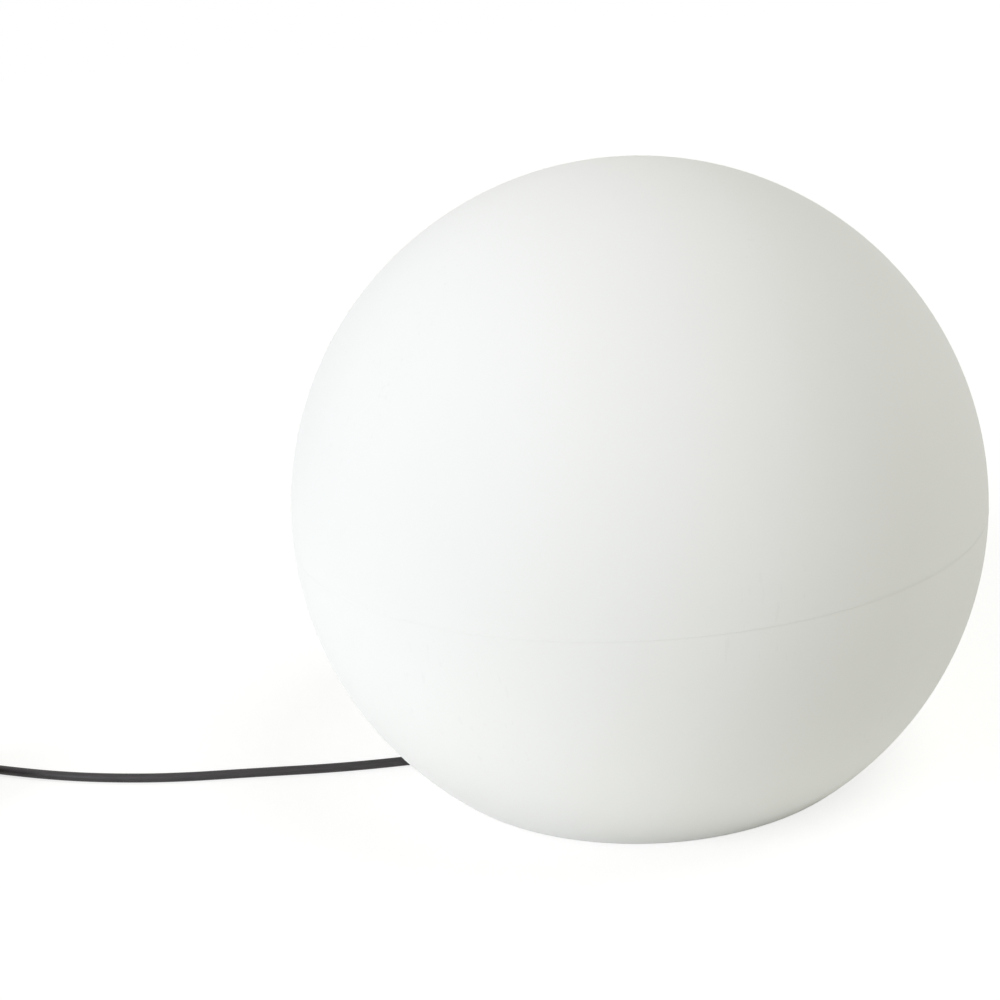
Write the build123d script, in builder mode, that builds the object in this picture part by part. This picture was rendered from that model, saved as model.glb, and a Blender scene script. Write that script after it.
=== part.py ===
"""Garden globe light: a rotomoulded globe on a twist-lock lamp base, with its bulb and rubber cord.

Millimetres and degrees. The origin is on the globe's axis, on the floor. +Z is up, and the cord
leaves the base towards -X. A name that ends in _z is a height above the floor, unless its
comment says otherwise.
"""

import os
from math import atan2, cos, degrees, dist, pi, radians, sin, sqrt, tan

from build123d import *

os.makedirs("parts", exist_ok=True)

# Driving dimensions --------------------------------------------------------------------------

# Globe: a sphere cut off flat below, with a recess in its underside
globe_r = 250.0
standing_w = 48.0  # from the recess to where the sphere would meet the floor
globe_wall = 3.5
foot_edge_r = 12.5  # rounding where the sphere turns into the standing ring
seam_w = 1.6
seam_proud = 0.3
recess_r = 118.0  # at the floor
recess_top_r = 110.0
recess_h = 38.0
recess_edge_r = 5.0
recess_root_r = 6.0
neck_r = 62.0

# Cord arch through the standing ring
arch_w = 76.0
arch_h = 12.0
arch_corner_r = 5.0
arch_reach = 200.0  # the arch is cut this far out from the axis
arch_start = 90.0

# Twist lock between the globe's neck and the base
lug_count = 3
lug_turned = 60.0
lug_arc = 16.0
lug_reach = 6.6
lug_h = 4.0
lock_turn = 20.0
notch_play = 1.25  # degrees at each side of a lug
lock_play = 0.3
stop_arc = 2.5
stop_h = 4.0

# Lamp base
neck_play = 0.6
flange_r = 78.0
flange_h = 4.0
flange_edge = 1.0
gasket_h = 2.0
gasket_lap = 1.0  # from the notches and from the flange's edge
seat_gap = 0.2
chamber_r = 52.0
base_wall = 3.0
floor_gap = 4.0
pad_t = 5.0
pad_w = 32.0
boss_r = 4.5
boss_h = 14.0
boss_sink = 1.0  # how far a screw boss stands in the chamber's wall
boss_count = 4
pillar_r = 5.0
pillar_h = 13.0

# Terminal cover, under the base
cover_t = 3.0
cover_gasket_t = 1.0
cover_screw_r = 1.75
cover_screw_l = 14.0
cover_head_r = 3.4

# Cord, and where it goes in
cord_r = 3.5
core_r = 1.1
core_apart = 3.2
fit = 0.05  # radial play of pieces that are pushed or screwed together

# Cable gland, with its axis level and its thread in the base's pad
gland_r = 8.0
gland_af = 19.0
gland_hex_t = 5.0
gland_ring_t = 1.5
gland_ring_w = 2.5
gland_thread_l = 9.0  # on each side of its hexagon
gland_bore_r = 4.2
gland_clear = 1.5
seal_l = 7.0
seal_t = 2.45
locknut_t = 4.0
locknut_af = 19.0
gland_nut_l = 9.0
gland_nose_l = 9.0
gland_nose_r = 6.0
gland_exit_r = 3.8
jacket_end = 3.0  # the cord's jacket ends this far inside the gland's own end

# Terminal block
block_l = 22.0
block_w = 20.0
block_h = 14.0
block_edge = 1.0
block_x = -17.0
pole_apart = 10.0
sleeve_bore_r = 1.2
sleeve_wall = 0.9
sleeve_inset = 1.0
terminal_screw_r = 1.0
terminal_screw_in = 5.0  # from the end of the block
wire_in = 5.0
block_screw_r = 1.4
block_screw_l = 22.0
block_screw_head_r = 2.8
block_screw_head_h = 1.8

# Nipple that carries the lamp holder
nipple_r = 4.95
nipple_bore_r = 3.5
nipple_up = 7.0
nipple_down = 6.0
nut_af = 14.0
nut_h = 4.0

# E27 lamp holder
dome_foot_r = 13.0
dome_r = 20.5
dome_slope_h = 7.0
dome_band_h = 4.0
dome_neck_h = 6.0
dome_neck_r = 18.9
dome_wall = 2.1
core_lip_t = 3.0
core_lip_in = 0.1
core_plug_h = 4.0
core_boss_r = 9.0
core_boss_h = 1.5
post_r = 2.2
post_l = 4.0
centre_post_x = -6.0
side_post_x = 10.8
grub_r = 0.9
grub_l = 3.0
leaf_l = 16.0
leaf_w = 5.0
leaf_t = 0.6
leaf_rise = 2.5
leaf_top_l = 6.0
sleeve_r = 13.4
sleeve_t = 0.5
sleeve_h = 27.0
skirt_h = 37.0
skirt_band_h = 7.0
skirt_slope_h = 10.0
skirt_top_r = 17.4
skirt_lip_r = 14.6
skirt_lip_h = 1.5

# Bulb
bulb_gap = 0.3
tip_r = 4.6
tip_h = 1.6
insulator_h = 5.0
insulator_foot_r = 5.6
cap_root_r = 12.0
cap_crest_r = 13.05
cap_wall = 0.7
cap_pitch = 3.62
cap_ridges = 4
cap_lead_h = 2.5
cap_collar_h = 5.0
housing_lip_r = 13.3
housing_foot_r = 14.5
housing_foot_h = 4.0
housing_r = 27.5
housing_h = 38.0
housing_wall = 1.6
housing_neck_h = 14.0
led_board_t = 1.6
led_ledge = 0.4
driver_l = 40.0
driver_w = 16.0
driver_t = 1.6
chip_count = 12
chip_ring_r = 17.0
chip_l = 3.5
chip_w = 2.8
chip_t = 0.8
bulb_r = 30.0
bulb_wall = 1.2

# Cord on the floor: where it is seen, its points follow its route; then it lies in a coil
cord_lead_points = [
    (-89, 0, 19),
    (-116, 0.1, 3.5),
    (-176, 2.6, 3.5),
    (-236, 9.0, 3.5),
    (-300, 21.9, 3.5),
    (-362, 33.3, 3.5),
    (-412, 49.2, 3.5),
    (-452, 66.2, 3.5),
    (-492, 87.6, 3.5),
    (-530, 110.4, 3.5),
]
coil_inner_r = 23.2
coil_pitch = 7.6
coil_turns = 4  # in each layer
coil_layers = 4
tail_start_l = 20.0  # in line with the coil's end
tail_points = [
    (-550.3, -4.8, 22),
    (-545.8, -30.4, 13),
    (-548.5, -52.2, 13),
]

# Plug
boot_l = 28.0
boot_tip_r = 5.0
boot_r = 8.5
boot_grooves = 5
boot_groove_w = 2.0
boot_groove_d = 1.2
plug_w = 37.0
plug_h = 26.0
plug_corner_r = 8.0
plug_l = 45.0
plug_neck_l = 15.0
plug_neck_w = 22.0
plug_neck_h = 18.0
pin_r = 2.4
pin_l = 19.0
pin_apart = 19.0
pin_tip = 0.8

# Derived places ------------------------------------------------------------------------------

rim_r = recess_r + standing_w
globe_z = sqrt(globe_r**2 - rim_r**2)
ring_start_r = recess_r + recess_edge_r
lip_top_z = recess_h + globe_wall

flange_top_z = recess_h - seat_gap - gasket_h
flange_z = flange_top_z - flange_h
lug_z = lip_top_z + lock_play
deck_top_z = lug_z + lug_h
deck_z = deck_top_z - base_wall
spigot_r = neck_r - neck_play
lug_r = spigot_r + lug_reach
notch_r = lug_r + neck_play
chamber_z = floor_gap + cover_t + cover_gasket_t
cover_z = floor_gap
chamber_inner_r = chamber_r - base_wall
boss_ring_r = chamber_inner_r - boss_r + boss_sink

gland_z = chamber_z + gland_af / 2 + gland_clear
block_top_z = deck_z - pillar_h
block_z = block_top_z - block_h
pole_z = block_z + block_h / 2
block_start_x = block_x - block_l / 2
block_end_x = block_x + block_l / 2

dome_z = deck_top_z + nut_h
dome_h = dome_slope_h + dome_band_h + dome_neck_h
core_z = dome_z + dome_h
core_top_z = core_z + core_lip_t
leaf_z = core_top_z + core_boss_h
tip_z = leaf_z + leaf_rise + bulb_gap
cap_z = tip_z + tip_h + insulator_h - cap_lead_h
cap_top_z = cap_z + cap_lead_h + cap_ridges * cap_pitch + cap_collar_h
cap_inner_r = cap_root_r - cap_wall
housing_top_z = cap_top_z + housing_h
led_top_z = housing_top_z - led_ledge
bulb_z = housing_top_z + sqrt(bulb_r**2 - housing_r**2)

gland_plane = Plane(origin=(-chamber_r, 0, gland_z), x_dir=(0, 1, 0), z_dir=(-1, 0, 0))
gland_nut_start = gland_ring_t + gland_hex_t + lock_play
gland_end = gland_nut_start + gland_nut_l + gland_nose_l


# Helpers -------------------------------------------------------------------------------------


def sector(inner, outer, arc):
    """A flat ring segment about the origin, centred on +X."""
    with BuildSketch(Plane.XY) as segment:
        with BuildLine():
            inside = CenterArc((0, 0), inner, -arc / 2, arc)
            outside = CenterArc((0, 0), outer, -arc / 2, arc)
            Line(inside @ 0, outside @ 0)
            Line(inside @ 1, outside @ 1)
        make_face()
    return segment.sketch


def bend_radii(points):
    """The radius at each corner of a route: as large as the two runs beside it allow."""
    corners = [Vector(*point) for point in points]
    runs = [after - before for before, after in zip(corners, corners[1:])]
    return [
        0.45 * min(a.length, b.length) / tan(radians(a.get_angle(b)) / 2)
        for a, b in zip(runs, runs[1:])
    ]


def rounded_route(points):
    """The centreline through a route's points, its corners rounded."""
    with BuildLine() as route:
        FilletPolyline(*points, radius=bend_radii(points))
    return route.line


def tube(path, radius):
    """Add a round tube along a path to the part that is being built."""
    with BuildSketch(Plane(origin=path @ 0, z_dir=path % 0)) as section:
        Circle(radius)
    sweep(sections=section.sketch, path=path)


# Globe ---------------------------------------------------------------------------------------


def globe_section(inset):
    """One side of the globe's filled section, drawn in by a wall's thickness."""
    with BuildSketch(Plane.XZ) as section:
        with BuildLine():
            sphere = CenterArc((0, globe_z), globe_r, 90, -90 - degrees(atan2(globe_z, rim_r)))
            Polyline(
                sphere @ 1, (recess_r, 0), (recess_top_r, recess_h), (0, recess_h), sphere @ 0
            )
        make_face()
        corner = section.vertices().sort_by_distance((rim_r, 0))[0]
        fillet(corner, foot_edge_r)
        corner = section.vertices().sort_by_distance((recess_r, 0))[0]
        fillet(corner, recess_edge_r)
        corner = section.vertices().sort_by_distance((recess_top_r, recess_h))[0]
        fillet(corner, recess_root_r)
        mirror(about=Plane.YZ)
        if inset:
            offset(amount=-inset, mode=Mode.REPLACE)
        split(bisect_by=Plane.YZ, keep=Keep.TOP)
    return section.sketch


def arch_section(around):
    """The cord arch's cross-section, drawn out by a wall's thickness."""
    middle = radians(180 - lock_turn / 2)
    outward = Vector(cos(middle), sin(middle), 0)
    across = Vector(-sin(middle), cos(middle), 0)
    with BuildSketch(Plane(origin=outward * arch_start, x_dir=across, z_dir=outward)) as section:
        Rectangle(arch_w + 2 * around, 2 * (arch_h + around))
        fillet(section.vertices(), arch_corner_r + around)
    return section.sketch


stop_segment = sector(neck_r, lug_r, stop_arc)
notch_segment = sector(neck_r - lug_reach, notch_r, lug_arc + 2 * notch_play)
lug_segment = sector(spigot_r - base_wall, lug_r, lug_arc)

with BuildPart() as globe_hollow:
    revolve(globe_section(globe_wall), axis=Axis.Z)
    extrude(arch_section(globe_wall), amount=arch_reach - arch_start, mode=Mode.SUBTRACT)

with BuildPart() as globe_moulding:
    revolve(globe_section(0), axis=Axis.Z)
    extrude(arch_section(0), amount=arch_reach - arch_start, mode=Mode.SUBTRACT)
    add(globe_hollow.part, mode=Mode.SUBTRACT)
    with BuildSketch(Plane.XY.offset(recess_h)):
        Circle(neck_r)
        with PolarLocations(0, lug_count, lug_turned - lock_turn):
            add(notch_segment)
    extrude(amount=globe_wall, mode=Mode.SUBTRACT)
    with BuildSketch(Plane.XY.offset(lip_top_z)):
        with PolarLocations(0, lug_count, lug_turned + lug_arc / 2 + notch_play + stop_arc / 2):
            add(stop_segment)
    extrude(amount=stop_h)
    with BuildSketch(Plane.XZ):
        with Locations((globe_r, globe_z)):
            Rectangle(2 * seam_proud, seam_w)
    revolve(axis=Axis.Z)

# The moulding is kept in three pieces that meet face to face: at the seam and in the foot
with BuildPart() as globe_upper:
    add(globe_moulding.part)
    split(bisect_by=Plane.XY.offset(globe_z), keep=Keep.TOP)
globe_upper.part.label = "globe_upper"
export_step(globe_upper.part, "parts/globe_upper.step")

with BuildPart() as globe_lower:
    add(globe_moulding.part)
    split(bisect_by=Plane.XY.offset(globe_z), keep=Keep.BOTTOM)
    with BuildSketch(Plane.XY):
        Circle(ring_start_r)
    extrude(amount=globe_z, mode=Mode.SUBTRACT)
globe_lower.part.label = "globe_lower"
export_step(globe_lower.part, "parts/globe_lower.step")

with BuildPart() as globe_recess:
    add(globe_moulding.part)
    with BuildSketch(Plane.XY):
        Circle(ring_start_r)
    extrude(amount=globe_z, mode=Mode.INTERSECT)
globe_recess.part.label = "globe_recess"
export_step(globe_recess.part, "parts/globe_recess.step")

# Lamp base -----------------------------------------------------------------------------------

with BuildPart() as base_housing:
    with BuildSketch(Plane.XY.offset(chamber_z)):
        Circle(chamber_r)
        with Locations((-chamber_r, 0)):
            Rectangle(pad_t, pad_w, align=(Align.MIN, Align.CENTER))
    extrude(amount=flange_z - chamber_z)
    with BuildSketch(Plane.XY.offset(flange_z)):
        Circle(flange_r)
    extrude(amount=flange_h)
    flange_rims = base_housing.edges().filter_by(lambda edge: edge.length > 2 * pi * chamber_r)
    chamfer(flange_rims.sort_by(Axis.Z)[0], flange_edge)
    with BuildSketch(Plane.XY.offset(flange_top_z)):
        Circle(spigot_r)
    extrude(amount=deck_top_z - flange_top_z)
    with BuildSketch(Plane.XY.offset(lug_z)):
        with PolarLocations(0, lug_count, lug_turned):
            add(lug_segment)
    extrude(amount=lug_h)
    with BuildSketch(Plane.XY.offset(chamber_z)):
        Circle(chamber_inner_r)
        with Locations((-chamber_r, 0)):
            Rectangle(pad_t, pad_w, align=(Align.MIN, Align.CENTER), mode=Mode.SUBTRACT)
    extrude(amount=flange_top_z - chamber_z, mode=Mode.SUBTRACT)
    with BuildSketch(Plane.XY.offset(flange_top_z)):
        Circle(spigot_r - base_wall)
    extrude(amount=deck_z - flange_top_z, mode=Mode.SUBTRACT)
    with BuildSketch(Plane.XY.offset(chamber_z)):
        with PolarLocations(boss_ring_r, boss_count, 180 / boss_count):
            Circle(boss_r)
    extrude(amount=boss_h)
    with BuildSketch(Plane.XY.offset(block_top_z)):
        with Locations((block_x, 0)):
            Circle(pillar_r)
    extrude(amount=pillar_h)
    # Holes for the cover's screws, the block's screw, the nipple and the gland
    with BuildSketch(Plane.XY.offset(chamber_z)):
        with PolarLocations(boss_ring_r, boss_count, 180 / boss_count):
            Circle(cover_screw_r + fit)
    extrude(amount=cover_screw_l, mode=Mode.SUBTRACT)
    with BuildSketch(Plane.XY.offset(block_top_z)):
        with Locations((block_x, 0)):
            Circle(block_screw_r + fit)
    extrude(amount=block_screw_l - block_h, mode=Mode.SUBTRACT)
    with BuildSketch(Plane.XY.offset(deck_z)):
        Circle(nipple_r + fit)
    extrude(amount=base_wall, mode=Mode.SUBTRACT)
    with BuildSketch(gland_plane):
        Circle(gland_r + fit)
    extrude(amount=-pad_t, mode=Mode.SUBTRACT)
base_housing.part.label = "base_housing"
export_step(base_housing.part, "parts/base_housing.step")

with BuildPart() as base_gasket:
    with BuildSketch(Plane.XY.offset(flange_top_z)):
        Circle(flange_r - gasket_lap)
        Circle(notch_r + gasket_lap, mode=Mode.SUBTRACT)
    extrude(amount=gasket_h)
base_gasket.part.label = "base_gasket"
export_step(base_gasket.part, "parts/base_gasket.step")

# Terminal cover ------------------------------------------------------------------------------

with BuildPart() as terminal_cover:
    with BuildSketch(Plane.XY.offset(cover_z)):
        Circle(chamber_r)
    extrude(amount=cover_t)
    with Locations(Plane(origin=(0, 0, cover_z), z_dir=(0, 0, -1))):
        with PolarLocations(boss_ring_r, boss_count, 180 / boss_count):
            CounterSinkHole(cover_screw_r + 2 * fit, cover_head_r + fit, cover_t)
terminal_cover.part.label = "terminal_cover"
export_step(terminal_cover.part, "parts/terminal_cover.step")

with BuildPart() as cover_gasket:
    with BuildSketch(Plane.XY.offset(cover_z + cover_t)):
        Circle(chamber_r)
        Circle(boss_ring_r - boss_r, mode=Mode.SUBTRACT)
        with PolarLocations(boss_ring_r, boss_count, 180 / boss_count):
            Circle(cover_screw_r + 2 * fit, mode=Mode.SUBTRACT)
    extrude(amount=cover_gasket_t)
cover_gasket.part.label = "cover_gasket"
export_step(cover_gasket.part, "parts/cover_gasket.step")

with BuildPart() as cover_screws:
    with PolarLocations(boss_ring_r, boss_count, 180 / boss_count):
        with Locations((0, 0, cover_z)):
            Cylinder(
                cover_screw_r, cover_screw_l, align=(Align.CENTER, Align.CENTER, Align.MIN)
            )
            Cone(
                cover_head_r,
                cover_screw_r,
                cover_head_r - cover_screw_r,
                align=(Align.CENTER, Align.CENTER, Align.MIN),
            )
cover_screws.part.label = "cover_screws"
export_step(cover_screws.part, "parts/cover_screws.step")

# Cable gland ---------------------------------------------------------------------------------

with BuildPart() as gland_ring:
    with BuildSketch(gland_plane):
        Circle(gland_r + fit + gland_ring_w)
        Circle(gland_r + fit, mode=Mode.SUBTRACT)
    extrude(amount=gland_ring_t)
gland_ring.part.label = "gland_ring"
export_step(gland_ring.part, "parts/gland_ring.step")

with BuildPart() as gland_body:
    with BuildSketch(gland_plane.offset(-gland_thread_l)):
        Circle(gland_r)
    extrude(amount=gland_thread_l + gland_ring_t + gland_hex_t + gland_thread_l)
    with BuildSketch(gland_plane.offset(gland_ring_t)):
        RegularPolygon(gland_af / 2, 6, major_radius=False, rotation=30)
    extrude(amount=gland_hex_t)
    with BuildSketch(gland_plane.offset(-gland_thread_l)):
        Circle(gland_bore_r)
    extrude(amount=gland_thread_l + gland_ring_t + gland_hex_t + gland_thread_l, mode=Mode.SUBTRACT)
    with BuildSketch(gland_plane.offset(gland_ring_t + gland_hex_t + gland_thread_l - seal_l)):
        Circle(cord_r + fit + seal_t)
    extrude(amount=seal_l, mode=Mode.SUBTRACT)
gland_body.part.label = "gland_body"
export_step(gland_body.part, "parts/gland_body.step")

with BuildPart() as gland_seal:
    with BuildSketch(gland_plane.offset(gland_ring_t + gland_hex_t + gland_thread_l - seal_l)):
        Circle(cord_r + seal_t)
        Circle(cord_r + fit, mode=Mode.SUBTRACT)
    extrude(amount=seal_l)
gland_seal.part.label = "gland_seal"
export_step(gland_seal.part, "parts/gland_seal.step")

with BuildPart() as gland_cap:
    with BuildSketch(gland_plane.offset(gland_nut_start)):
        RegularPolygon(gland_af / 2, 6, major_radius=False, rotation=30)
    extrude(amount=gland_nut_l)
    with BuildSketch(gland_plane.offset(gland_nut_start + gland_nut_l)):
        Circle(gland_af / 2)
    with BuildSketch(gland_plane.offset(gland_end)):
        Circle(gland_nose_r)
    loft()
    with BuildSketch(gland_plane.offset(gland_nut_start)):
        Circle(gland_r + fit)
    extrude(amount=gland_thread_l, mode=Mode.SUBTRACT)
    with BuildSketch(gland_plane.offset(gland_nut_start)):
        Circle(gland_exit_r)
    extrude(amount=gland_nut_l + gland_nose_l, mode=Mode.SUBTRACT)
gland_cap.part.label = "gland_cap"
export_step(gland_cap.part, "parts/gland_cap.step")

with BuildPart() as gland_locknut:
    with BuildSketch(gland_plane.offset(-pad_t - locknut_t)):
        RegularPolygon(locknut_af / 2, 6, major_radius=False, rotation=30)
        Circle(gland_r + fit, mode=Mode.SUBTRACT)
    extrude(amount=locknut_t)
gland_locknut.part.label = "gland_locknut"
export_step(gland_locknut.part, "parts/gland_locknut.step")

# Supply cord inside the base -----------------------------------------------------------------

jacket_end_x = -chamber_r + gland_thread_l - jacket_end
cord_exit_x = -chamber_r - gland_end
cord_entry_l = jacket_end_x - cord_exit_x

with BuildPart() as cord_entry:
    with BuildSketch(Plane(origin=(cord_exit_x, 0, gland_z), z_dir=(1, 0, 0))):
        Circle(cord_r)
    extrude(amount=cord_entry_l)
cord_entry.part.label = "cord_entry"
export_step(cord_entry.part, "parts/cord_entry.step")

for side, core_name in ((1, "cord_core_live"), (-1, "cord_core_neutral")):
    route = rounded_route(
        [
            (jacket_end_x, side * core_apart / 2, gland_z),
            (jacket_end_x + 3 * core_r, side * core_apart / 2, gland_z),
            (block_start_x - 2 * core_r, side * pole_apart / 2, pole_z),
            (block_start_x + wire_in, side * pole_apart / 2, pole_z),
        ]
    )
    with BuildPart() as core:
        tube(route, core_r)
    core.part.label = core_name
    export_step(core.part, f"parts/{core_name}.step")

# Terminal block ------------------------------------------------------------------------------

poles = GridLocations(0, pole_apart, 1, 2).locations
screw_spots = GridLocations(block_l - 2 * terminal_screw_in, pole_apart, 2, 2).locations
block_floor = Plane.XY.offset(block_z)
pole_plane = Plane(origin=(block_start_x, 0, pole_z), x_dir=(0, 1, 0), z_dir=(1, 0, 0))
pole_holes = GridLocations(pole_apart, 0, 2, 1).locations

with BuildPart() as terminal_block:
    with BuildSketch(block_floor) as block_outline:
        with Locations((block_x, 0)):
            Rectangle(block_l, block_w)
            chamfer(block_outline.vertices(), block_edge)
            Circle(block_screw_r + fit, mode=Mode.SUBTRACT)
    extrude(amount=block_h)
    with BuildSketch(pole_plane):
        with Locations(*pole_holes):
            Circle(sleeve_bore_r + sleeve_wall + fit)
    extrude(amount=block_l, mode=Mode.SUBTRACT)
    with BuildSketch(block_floor):
        with Locations((block_x, 0)):
            with Locations(*screw_spots):
                Circle(terminal_screw_r + fit)
    extrude(amount=block_h / 2, mode=Mode.SUBTRACT)
    with BuildSketch(block_floor):
        with Locations((block_x, 0)):
            Circle(block_screw_head_r + fit)
    extrude(amount=block_screw_head_h, mode=Mode.SUBTRACT)
terminal_block.part.label = "terminal_block"
export_step(terminal_block.part, "parts/terminal_block.step")

with BuildPart() as terminal_sleeves:
    with BuildSketch(pole_plane.offset(sleeve_inset)):
        with Locations(*pole_holes):
            Circle(sleeve_bore_r + sleeve_wall)
            Circle(sleeve_bore_r, mode=Mode.SUBTRACT)
    extrude(amount=block_l - 2 * sleeve_inset)
    with BuildSketch(block_floor):
        with Locations((block_x, 0)):
            with Locations(*screw_spots):
                Circle(terminal_screw_r + fit)
    extrude(amount=block_h / 2, mode=Mode.SUBTRACT)
terminal_sleeves.part.label = "terminal_sleeves"
export_step(terminal_sleeves.part, "parts/terminal_sleeves.step")

with BuildPart() as terminal_screws:
    with BuildSketch(block_floor):
        with Locations((block_x, 0)):
            with Locations(*screw_spots):
                Circle(terminal_screw_r)
    extrude(amount=block_h / 2 - core_r - fit)
terminal_screws.part.label = "terminal_screws"
export_step(terminal_screws.part, "parts/terminal_screws.step")

with BuildPart() as terminal_block_screw:
    with BuildSketch(block_floor):
        with Locations((block_x, 0)):
            Circle(block_screw_r)
    extrude(amount=block_screw_l - fit)
    with BuildSketch(block_floor):
        with Locations((block_x, 0)):
            Circle(block_screw_head_r)
    extrude(amount=block_screw_head_h)
terminal_block_screw.part.label = "terminal_block_screw"
export_step(terminal_block_screw.part, "parts/terminal_block_screw.step")

# Nipple and its nuts -------------------------------------------------------------------------

nipple_z = deck_z - nut_h - nipple_down
nipple_top_z = deck_top_z + nipple_up

with BuildPart() as holder_nipple:
    with BuildSketch(Plane.XY.offset(nipple_z)):
        Circle(nipple_r)
        Circle(nipple_bore_r, mode=Mode.SUBTRACT)
    extrude(amount=nipple_top_z - nipple_z)
holder_nipple.part.label = "holder_nipple"
export_step(holder_nipple.part, "parts/holder_nipple.step")

with BuildPart() as nipple_nuts:
    for nut_z in (deck_z - nut_h, deck_top_z):
        with BuildSketch(Plane.XY.offset(nut_z)):
            RegularPolygon(nut_af / 2, 6, major_radius=False)
            Circle(nipple_r + fit, mode=Mode.SUBTRACT)
        extrude(amount=nut_h)
nipple_nuts.part.label = "nipple_nuts"
export_step(nipple_nuts.part, "parts/nipple_nuts.step")

# Lamp holder ---------------------------------------------------------------------------------

dome_inner_r = dome_neck_r - dome_wall

with BuildPart() as holder_dome:
    with BuildSketch(Plane.XZ):
        with BuildLine():
            Polyline(
                (nipple_r + fit, dome_z),
                (dome_foot_r, dome_z),
                (dome_r, dome_z + dome_slope_h),
                (dome_r, dome_z + dome_slope_h + dome_band_h),
                (dome_neck_r, dome_z + dome_slope_h + dome_band_h),
                (dome_neck_r, core_z),
                (dome_inner_r, core_z),
                (dome_inner_r, dome_z + dome_slope_h + dome_wall),
                (dome_foot_r - dome_wall, dome_z + dome_wall),
                (nipple_r + fit, dome_z + dome_wall),
                close=True,
            )
        make_face()
    revolve(axis=Axis.Z)
holder_dome.part.label = "holder_dome"
export_step(holder_dome.part, "parts/holder_dome.step")

posts = [(centre_post_x, 0), (side_post_x, 0)]

with BuildPart() as holder_core:
    with BuildSketch(Plane.XY.offset(core_z - core_plug_h)):
        Circle(dome_inner_r - fit)
    extrude(amount=core_plug_h)
    with BuildSketch(Plane.XY.offset(core_z)):
        Circle(dome_neck_r - core_lip_in)
    extrude(amount=core_lip_t)
    with BuildSketch(Plane.XY.offset(core_top_z)):
        Circle(core_boss_r)
    extrude(amount=core_boss_h)
    with BuildSketch(Plane.XY.offset(core_z - core_plug_h)):
        with Locations(*posts):
            Circle(post_r + fit)
    extrude(amount=core_plug_h + core_lip_t + core_boss_h, mode=Mode.SUBTRACT)
holder_core.part.label = "holder_core"
export_step(holder_core.part, "parts/holder_core.step")

post_z = core_z - core_plug_h - post_l
grub_z = post_z + post_l / 2

with BuildPart() as centre_contact:
    with BuildSketch(Plane.XZ.offset(-leaf_w / 2)):
        with BuildLine():
            Polyline(
                (-leaf_l / 2, leaf_z),
                (-leaf_top_l / 2 - leaf_rise / 2, leaf_z),
                (-leaf_top_l / 2, leaf_z + leaf_rise - leaf_t),
                (leaf_top_l / 2, leaf_z + leaf_rise - leaf_t),
                (leaf_top_l / 2 + leaf_rise / 2, leaf_z),
                (leaf_top_l / 2 + leaf_rise / 2 + leaf_t, leaf_z),
                (leaf_top_l / 2 + leaf_t, leaf_z + leaf_rise),
                (-leaf_top_l / 2 - leaf_t, leaf_z + leaf_rise),
                (-leaf_top_l / 2 - leaf_rise / 2 - leaf_t, leaf_z + leaf_t),
                (-leaf_l / 2, leaf_z + leaf_t),
                close=True,
            )
        make_face()
    extrude(amount=leaf_w)
    with BuildSketch(Plane.XY.offset(post_z)):
        with Locations(posts[0]):
            Circle(post_r)
    extrude(amount=leaf_z + leaf_t - post_z)
    with BuildSketch(Plane.XY.offset(post_z)):
        with Locations(posts[0]):
            Circle(sleeve_bore_r)
    extrude(amount=post_l - fit, mode=Mode.SUBTRACT)
    with BuildSketch(Plane(origin=(centre_post_x, 0, grub_z), z_dir=(-1, 0, 0))):
        Circle(grub_r + fit)
    extrude(amount=post_r, mode=Mode.SUBTRACT)
centre_contact.part.label = "centre_contact"
export_step(centre_contact.part, "parts/centre_contact.step")

with BuildPart() as side_contact:
    with BuildSketch(Plane.XY.offset(post_z)):
        with Locations(posts[1]):
            Circle(post_r)
    extrude(amount=core_top_z - post_z)
    with BuildSketch(Plane.XY.offset(post_z)):
        with Locations(posts[1]):
            Circle(sleeve_bore_r)
    extrude(amount=post_l - fit, mode=Mode.SUBTRACT)
    with BuildSketch(Plane(origin=(side_post_x, 0, grub_z), z_dir=(1, 0, 0))):
        Circle(grub_r + fit)
    extrude(amount=post_r, mode=Mode.SUBTRACT)
side_contact.part.label = "side_contact"
export_step(side_contact.part, "parts/side_contact.step")

with BuildPart() as holder_screws:
    for post_x, out in ((centre_post_x, -1), (side_post_x, 1)):
        grub_start = core_r + fit
        with BuildSketch(Plane(origin=(post_x + out * grub_start, 0, grub_z), z_dir=(out, 0, 0))):
            Circle(grub_r)
        extrude(amount=grub_l)
holder_screws.part.label = "holder_screws"
export_step(holder_screws.part, "parts/holder_screws.step")

with BuildPart() as thread_sleeve:
    with BuildSketch(Plane.XY.offset(core_top_z)):
        Circle(sleeve_r + sleeve_t)
        Circle(core_boss_r + fit, mode=Mode.SUBTRACT)
    extrude(amount=sleeve_t)
    with BuildSketch(Plane.XY.offset(core_top_z)):
        Circle(sleeve_r + sleeve_t)
        Circle(sleeve_r, mode=Mode.SUBTRACT)
    extrude(amount=sleeve_h)
thread_sleeve.part.label = "thread_sleeve"
export_step(thread_sleeve.part, "parts/thread_sleeve.step")

skirt_z = core_z - dome_neck_h
skirt_top_z = skirt_z + skirt_h

with BuildPart() as holder_skirt:
    with BuildSketch(Plane.XZ):
        with BuildLine():
            Polyline(
                (dome_neck_r + fit, skirt_z),
                (dome_r, skirt_z),
                (dome_r, skirt_z + skirt_band_h),
                (skirt_top_r, skirt_z + skirt_band_h + skirt_slope_h),
                (skirt_top_r, skirt_top_z),
                (skirt_lip_r, skirt_top_z),
                (sleeve_r + sleeve_t + fit, skirt_top_z - skirt_lip_h),
                (sleeve_r + sleeve_t + fit, core_top_z),
                (dome_neck_r + fit, core_top_z),
                close=True,
            )
        make_face()
    revolve(axis=Axis.Z)
holder_skirt.part.label = "holder_skirt"
export_step(holder_skirt.part, "parts/holder_skirt.step")

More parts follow.
